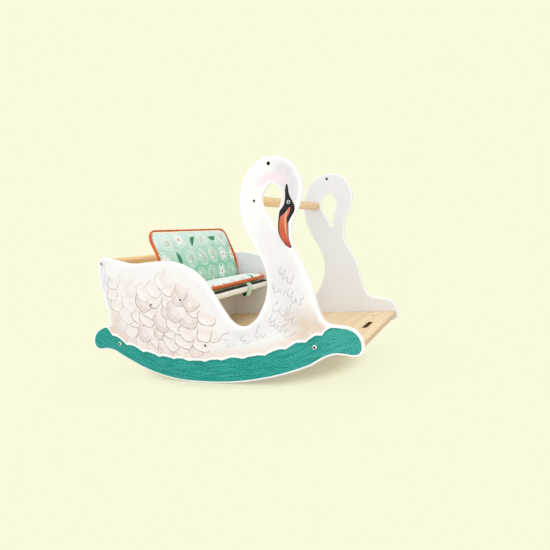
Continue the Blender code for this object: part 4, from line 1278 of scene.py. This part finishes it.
def voxel_copy(node, name):
    """A remeshed, slightly smaller copy of a CAD pad."""
    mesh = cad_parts[node].data.copy()
    piece = helper(name, mesh)
    remesh = piece.modifiers.new("voxels", "REMESH")
    remesh.mode = "VOXEL"
    remesh.voxel_size = PAD_VOXEL
    mesh = solid_copy(piece, name)
    bm = bmesh.new()
    bm.from_mesh(mesh)
    bm.normal_update()
    for vert in bm.verts:
        vert.co -= vert.normal * PAD_SHRINK
    bm.to_mesh(mesh)
    bm.free()
    return mesh


def inflate(mesh, name, limit, hold):
    """Swell a closed mesh with cloth simulation, each point moving no further than its limit times hold."""
    rest = np.array([v.co for v in mesh.vertices])
    piece = helper(name, mesh)
    group = piece.vertex_groups.new(name="seam")
    for number, share in enumerate(hold):
        if share < 0.999:
            group.add([number], 1.0 - float(share), "REPLACE")
    cloth = piece.modifiers.new("swell", "CLOTH")
    for setting, value in PAD_CLOTH.items():
        setattr(cloth.settings, setting, value)
    cloth.settings.effector_weights.gravity = 0.0
    cloth.collision_settings.use_collision = False
    cloth.point_cache.frame_start = 1
    cloth.point_cache.frame_end = PAD_FRAMES
    scene = bpy.context.scene
    for number in range(1, PAD_FRAMES + 1):
        scene.frame_set(number)
    graph = bpy.context.evaluated_depsgraph_get()
    moved_mesh = piece.evaluated_get(graph).to_mesh()
    moved = np.array([v.co for v in moved_mesh.vertices])
    drop_object(piece)
    scene.frame_set(1)
    shift = moved - rest
    far = np.linalg.norm(shift, axis=1)
    allowed = np.minimum(far, limit * hold)
    rest += shift * (allowed / np.maximum(far, 1e-9))[:, None]
    return rest


def seam_depth(seam, crease_seam, bow, share):
    """Depth of a pad's seam at a share of the way from the crease, with a bow nearer the crease."""
    share = np.clip(share, 0.0, 1.0)
    return crease_seam + (seam - crease_seam) * share + bow * np.sin(math.pi * share**0.8) ** 2


def make_pad(node, matrix, length, seams, limit, look):
    """One half of the mat: a swollen cloth form that keeps its seam where the piping runs."""
    name = node + "_shown"
    mesh = voxel_copy(node, name)
    inverse = matrix.inverted()
    local = np.array([inverse @ v.co for v in mesh.vertices])
    half = PAD_WIDTH / 2
    seam = seam_depth(*seams, local[:, 2] / length)
    from_edge = np.minimum.reduce([local[:, 2], length - local[:, 2], half - np.abs(local[:, 1])])
    from_seam = np.hypot(np.maximum(from_edge, 0), local[:, 0] - seam)
    hold = np.clip((from_seam - SEAM_HOLD * 0.5) / (SEAM_HOLD * 2.5), 0, 1)
    rests = np.clip((local[:, 0] - 0.002) / 0.006, 0, 1)
    hold = hold * rests
    places = np.array([v.co for v in mesh.vertices])
    places = inflate(mesh.copy(), name, limit, hold)
    places += crease(local, hold, matrix)
    mesh.vertices.foreach_set("co", places.astype(np.float32).ravel())
    share = local[:, 2] / length
    # Painted light and shade for the mat's colour: the back pad is painted lighter toward its top and one
    # side and darker low down, and the seat pad is painted pale all over as a painted sheen.
    light = -0.12 + 0.98 * share - 0.30 * local[:, 1] if seams[2] else 1.0 + 0.3 * share
    carry(mesh, cloth_u=local[:, 1], cloth_v=local[:, 2], cloth_light=np.clip(light, 0.0, 1.3))
    piece = helper(name, mesh)
    soft = piece.modifiers.new("soft", "SUBSURF")
    soft.levels = 1
    soft.render_levels = 1
    mesh = solid_copy(piece, name)
    mesh.shade_smooth()
    shown = show(name, mesh, look, stands_for=[node])
    return shown


def crease(local, hold, matrix):
    """Small puckers that run in from the seam, as a shift of each point along the pad's depth."""
    u, v, depth = local[:, 1], local[:, 2], local[:, 0]
    waves = np.sin(u * 210 + 2.2 * np.sin(v * 38)) * 0.5 + np.sin(u * 97 - v * 60 + 1.3) * 0.5
    near_seam = np.exp(-(((v - 0.004) / 0.020) ** 2)) + 0.35 * np.exp(-(((v - 0.172) / 0.018) ** 2))
    slow = np.sin(u * 31 + 0.7) * np.sin(v * 45 + 0.4)
    height = (waves * near_seam * 0.0008 + slow * 0.0008) * hold * (depth > 0.008)
    outward = np.array(matrix.to_3x3() @ Vector((1, 0, 0)))
    return height[:, None] * outward[None, :]


def flower(look, u, v, petals, size):
    """Distance inside a round-petalled flower's outline."""
    away = length_of(u, v)
    angle = v.math("ARCTAN2", u)
    return size * (0.74 + (angle * petals).math("COSINE") * 0.26) - away


def mat_look():
    """Mint cotton printed with blossoms in ripple rings, leaves and berries, over a mottled mint that carries
    painted light and shade.
    """
    look = Look("mint cloth", roughness=0.9, Sheen_Weight=0.12, Sheen_Roughness=0.4)
    u = look.attribute("cloth_u")
    v = look.attribute("cloth_v")
    light = look.attribute("cloth_light")
    pitch_u, pitch_v = 0.064, 0.058
    row = (v / pitch_v).math("FLOOR")
    shift = (row * 0.5).math("FRACT")
    column = (u / pitch_u + shift).math("FLOOR")
    cell_u = u - (column - shift + 0.5) * pitch_u + (look.chance(column, row, 2.0) - 0.5) * 0.010
    cell_v = v - (row + 0.5) * pitch_v + (look.chance(column, row, 3.0) - 0.5) * 0.008
    kind = look.chance(column, row, 13.0)
    turn = look.chance(column, row, 5.0) * math.tau
    cos, sin = turn.math("COSINE"), turn.math("SINE")
    a = cell_u * cos + cell_v * sin
    b = cell_v * cos - cell_u * sin
    is_flower = kind.math("LESS_THAN", 0.40)
    is_leaf = (1 - is_flower) * kind.math("LESS_THAN", 0.64)
    is_berry = 1 - kind.math("LESS_THAN", 0.64)

    mottled = look.noise(u * 30, v * 30, detail=4.0, roughness=0.6)
    # Painted light and shade: the colour runs from mint to pale mint with the painted light attribute, and to
    # the painted pale sheen above that.
    painted_light_and_mottle = light + (mottled - 0.5) * 1.1
    look.colour = look.mix(painted_light_and_mottle.step(0.10, 0.85), MINT, MINT_LIGHT)
    look.paint(painted_light_and_mottle.step(0.80, 1.10), MAT_PAINTED_LIGHT)
    heart = length_of(a, b)
    ripple = heart + (mottled - 0.5) * 0.012
    rings = (ripple * (math.tau / 0.0078)).math("SINE").step(0.20, 0.80) * ripple.step(0.034, 0.026)
    look.paint(rings * (1 - is_leaf * 0.7) * 0.85, CLOTH_WHITE)
    blossom = flower(look, a, b, 5.0, 0.0215)
    look.paint(blossom.step(-0.0006, 0.0006) * is_flower * 0.95, CLOTH_WHITE)
    vein = abs((b.math("ARCTAN2", a) * 2.5).math("SINE")).step(0.16, 0.04) * blossom.step(0.0, 0.002)
    look.paint(vein * is_flower * 0.6, MINT)
    look.paint(heart.step(0.0050, 0.0040) * is_flower, CLOTH_ORANGE)
    spine = b - a * a * 10.0
    blade = 0.0080 - (abs(spine) + a * a * 13.0)
    look.paint(blade.step(-0.0003, 0.0005) * is_leaf, LEAF_GREEN)
    rib = abs(spine).step(0.0009, 0.0004) * blade.step(0.0, 0.001)
    look.paint(rib * is_leaf * 0.25, MINT_LIGHT)
    berry = length_of(a + 0.004, b - 0.003)
    look.paint(abs(berry - 0.0060).step(0.0016, 0.0008) * is_berry * 0.85, BERRY_TAN)
    look.paint(length_of(a - 0.010, b + 0.008).step(0.0040, 0.0032) * is_berry, CLOTH_WHITE)
    threads = weave(look, u, v, 0.0009)
    look.bump(threads * 0.7 + mottled * 0.3, 0.00022)
    return look.finish(look.colour)


def pad_edge(length, seams, corner, matrix):
    """Points of the piping round a pad's sides and far end, from its right side to its left."""
    clear = PIPING_DIAMETER / 2 + PAD_GAP
    half_width = PAD_WIDTH / 2 + clear
    outer_corner = corner + clear
    far = length + clear
    points = []
    for along in (0.08, 0.22, 0.36, 0.5, 0.65, 0.8):
        points.append((length * along, -half_width))
    arc_steps = 6
    for step in range(arc_steps + 1):
        turn = step * math.pi / 2 / arc_steps
        along = far - outer_corner + outer_corner * math.sin(turn)
        points.append((along, -(half_width - outer_corner) - outer_corner * math.cos(turn)))
    for across in (-0.6, -0.3):
        points.append((far, half_width * across))
    mirrored = [(along, -across) for along, across in reversed(points)]
    placed = []
    for along, across in points + mirrored:
        drawn = PAD_DRAW_IN * (1 - (2 * min(along, length) / length - 1) ** 2)
        across -= drawn * across / half_width
        placed.append(matrix @ Vector((seam_depth(*seams, along / length), across, along)))
    return placed


def smooth_path(points, steps):
    """Points along a closed Catmull-Rom curve through the given ones."""
    made = []
    count = len(points)
    for number in range(count):
        before, start, end, after = (points[(number + k) % count] for k in (-1, 0, 1, 2))
        for step in range(steps):
            t = step / steps
            curve = 2 * start + (end - before) * t
            curve += (2 * before - 5 * start + 4 * end - after) * t**2
            curve += (3 * start - before - 3 * end + after) * t**3
            made.append(curve / 2)
    return made


PIPING_DEEP = 0.0044
PIPING_FLAT = 0.0027
PIPING_SIDES = 20


def make_piping(look):
    """Orange binding round the mat: an oval cord, deeper across the mat's edge than along it."""
    seat = pad_edge(SEAT_PAD_LENGTH, SEAT_SEAMS, SEAT_PAD_CORNER, SEAT_FRAME)
    back = pad_edge(BACK_PAD_LENGTH, BACK_SEAMS, BACK_PAD_CORNER, BACK_FRAME)
    if (seat[0] - back[0]).length < (seat[0] - back[-1]).length:
        back = back[::-1]
    back_out = (BACK_FRAME.to_3x3() @ Vector((1, 0, 0))).normalized()
    path = smooth_path(seat + back, 6)
    deep = smooth_path([Vector((0, 0, 1))] * len(seat) + [back_out] * len(back), 6)
    rings = []
    for number, point in enumerate(path):
        ahead = (path[(number + 1) % len(path)] - path[number - 1]).normalized()
        up = deep[number].normalized()
        up = (up - ahead * up.dot(ahead)).normalized()
        side = ahead.cross(up)
        swell = 1 + 0.05 * math.sin(number * 1.7) + 0.04 * math.sin(number * 0.61)
        ring = []
        for corner in range(PIPING_SIDES):
            turn = corner * math.tau / PIPING_SIDES
            shift = up * (math.cos(turn) * PIPING_DEEP) + side * (math.sin(turn) * PIPING_FLAT)
            ring.append(point + shift * swell)
        rings.append(ring)
    mesh = cleaned(loft("mat_piping_shown", rings))
    mesh.shade_smooth()
    show(mesh.name, mesh, look, stands_for=["mat_piping"])


def make_boards():
    """Give the CAD boards their plywood looks."""
    dress("floor_board", plywood_look("floor plywood", "z", board="floor_board"))
    dress("seat_board", plywood_look("seat plywood", "z"))
    dress("backrest_board", plywood_look("upright plywood", "x"))
    dress("seat_support_board", plywood_look("painted plywood", "x", PAINTED_BOARD, PAINTED_GRAIN))


def dress(node, look):
    """Give a CAD node that stays in view its material."""
    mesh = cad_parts[node].data
    mesh.materials.clear()
    mesh.materials.append(look)


def make_hardware():
    """Bolts, sockets and the small steel pieces inside the boards."""
    metal = steel_look("zinc steel", STEEL, 0.34)
    # Near-black steel for the sockets: painted shade where they sit in holes and recesses.
    dark = steel_look("socket painted shade", SOCKET_PAINTED_SHADE, 0.6)
    for node in list(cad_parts):
        if "_bolt_" in node:
            make_bolt(node, [metal, dark])
        elif "socket" in node:
            dress(node, dark)
        elif "_nut_" in node or "_insert_" in node or "screw" in node:
            dress(node, metal)
    make_press_stud(steel_look("nickel", NICKEL, 0.22))


# Strength of the world's light, and the lamps' places, sizes and watts
WORLD_STRENGTH = 0.74
LAMPS = {
    "key lamp": ((-1.0, -2.4, 2.3), 2.2, 10.2),
    "fill lamp": ((1.25, -2.45, 0.80), 1.4, 15.4),
    "top lamp": ((0.1, 0.6, 2.8), 2.2, 16.0),
}
FLOOR_DROP = 0.0004
# Shares of flat background in the floor: under the toy, just outside it and further out
FLOOR_FLAT = (0.36, 0.54, 0.10)
FLOOR_REACH = (0.30, 0.26)


def make_room():
    """Pale floor that runs into the background, soft lamps and the world's light."""
    bm = bmesh.new()
    bmesh.ops.create_grid(bm, x_segments=1, y_segments=1, size=12.0)
    floor = helper("floor", to_mesh(bm, "floor"))
    floor.location.z = CAD_BOX[0].z - FLOOR_DROP
    floor.data.materials.append(floor_look())

    world = bpy.data.worlds.new("studio")
    bpy.context.scene.world = world
    world.use_nodes = True
    nodes, link = world.node_tree.nodes, world.node_tree.links.new
    light = nodes["Background"]
    light.inputs["Color"].default_value = (1.0, 0.995, 0.985, 1.0)
    light.inputs["Strength"].default_value = WORLD_STRENGTH
    seen = nodes.new("ShaderNodeBackground")
    seen.inputs["Color"].default_value = linear(PALE_YELLOW)
    rays = nodes.new("ShaderNodeLightPath")
    either = rays.outputs["Is Camera Ray"]
    for name in ("Is Glossy Ray", "Is Transmission Ray"):
        both = nodes.new("ShaderNodeMath")
        both.operation = "MAXIMUM"
        link(either, both.inputs[0])
        link(rays.outputs[name], both.inputs[1])
        either = both.outputs[0]
    mix = nodes.new("ShaderNodeMixShader")
    for port, socket in zip(mix.inputs, (either, light.outputs[0], seen.outputs[0])):
        link(socket, port)
    link(mix.outputs[0], nodes["World Output"].inputs["Surface"])

    for name, (place, size, watts) in LAMPS.items():
        add_lamp(name, place, size, watts)


def floor_look():
    """Pale yellow floor: shaded near the toy, and fading into the flat background further out."""
    look = Look("pale floor", roughness=0.9, Specular_IOR_Level=0.1)
    camera_ray = Field(look, look.add("ShaderNodeLightPath").outputs["Is Camera Ray"])
    reach = length_of(look.x / FLOOR_REACH[0], look.y / FLOOR_REACH[1])
    flat_share = reach.step(0.86, 1.20) * FLOOR_FLAT[1] + reach.step(1.2, 2.4) * FLOOR_FLAT[2] + FLOOR_FLAT[0]
    fade = flat_share * camera_ray
    flat = look.add("ShaderNodeEmission")
    flat.inputs["Color"].default_value = linear(PALE_YELLOW)
    mix = look.add("ShaderNodeMixShader")
    look.feed(mix.inputs[0], fade)
    look.tree.links.new(look.shader.outputs[0], mix.inputs[1])
    look.tree.links.new(flat.outputs[0], mix.inputs[2])
    output = look.tree.nodes["Material Output"]
    look.tree.links.new(mix.outputs[0], output.inputs["Surface"])
    return look.finish(look.mix(camera_ray, NEUTRAL_FLOOR, PALE_YELLOW))


def add_lamp(name, place, size, watts):
    """A square soft lamp that faces the toy."""
    data = bpy.data.lights.new(name, "AREA")
    data.size = size
    data.energy = watts
    lamp = helper(name, data)
    lamp.location = place
    aim = Vector((0, 0, 0.22)) - Vector(place)
    lamp.rotation_mode = "QUATERNION"
    lamp.rotation_quaternion = aim.to_track_quat("-Z", "Y")


def make_camera():
    """The camera at the photograph's place and angle."""
    data = bpy.data.cameras.new("camera")
    data.lens = CAMERA_LENS
    data.sensor_width = CAMERA_SENSOR
    data.clip_start = 0.05
    data.clip_end = 60.0
    camera = helper("camera", data)
    level = Matrix.Rotation(CAMERA_YAW, 4, "Z") @ Matrix.Rotation(math.pi / 2 - CAMERA_PITCH, 4, "X")
    camera.matrix_world = Matrix.Translation(CAMERA_PLACE) @ level @ Matrix.Rotation(CAMERA_ROLL, 4, "Z")
    bpy.context.scene.camera = camera


def main():
    """Make every piece, the room and the camera."""
    bpy.context.scene.view_settings.view_transform = "Standard"
    make_camera()
    panel_looks = [print_look(), inner_look(), edge_look()]
    black, bill, white = beak_black_look(), bill_look(), edge_look()
    for side in (-1, 1):
        make_panel(side, panel_looks)
        make_beak(side, black, bill, white)
    make_boards()
    beech = beech_look()
    for dowel in ("handle_bar", "tail_bar", "front_rail"):
        make_dowel(dowel, beech)
    make_hardware()
    make_sleeve(sleeve_look())
    strap = cloth_look("strap outside", STRAP_MINT, MINT_LIGHT)
    strap_inside = cloth_look("strap inside", STRAP_INSIDE, LEAF_GREEN)
    make_strap([strap, strap_inside], cloth_look("strap thread", CLOTH_WHITE, MINT_LIGHT, 0.0004))
    mat = mat_look()
    make_pad("seat_pad", SEAT_FRAME, SEAT_PAD_LENGTH, SEAT_SEAMS, 0.004, mat)
    make_pad("backrest_pad", BACK_FRAME, BACK_PAD_LENGTH, BACK_SEAMS, 0.005, mat)
    make_piping(cloth_look("orange piping", PIPING_ORANGE, PIPING_FLECK))
    make_room()


main()
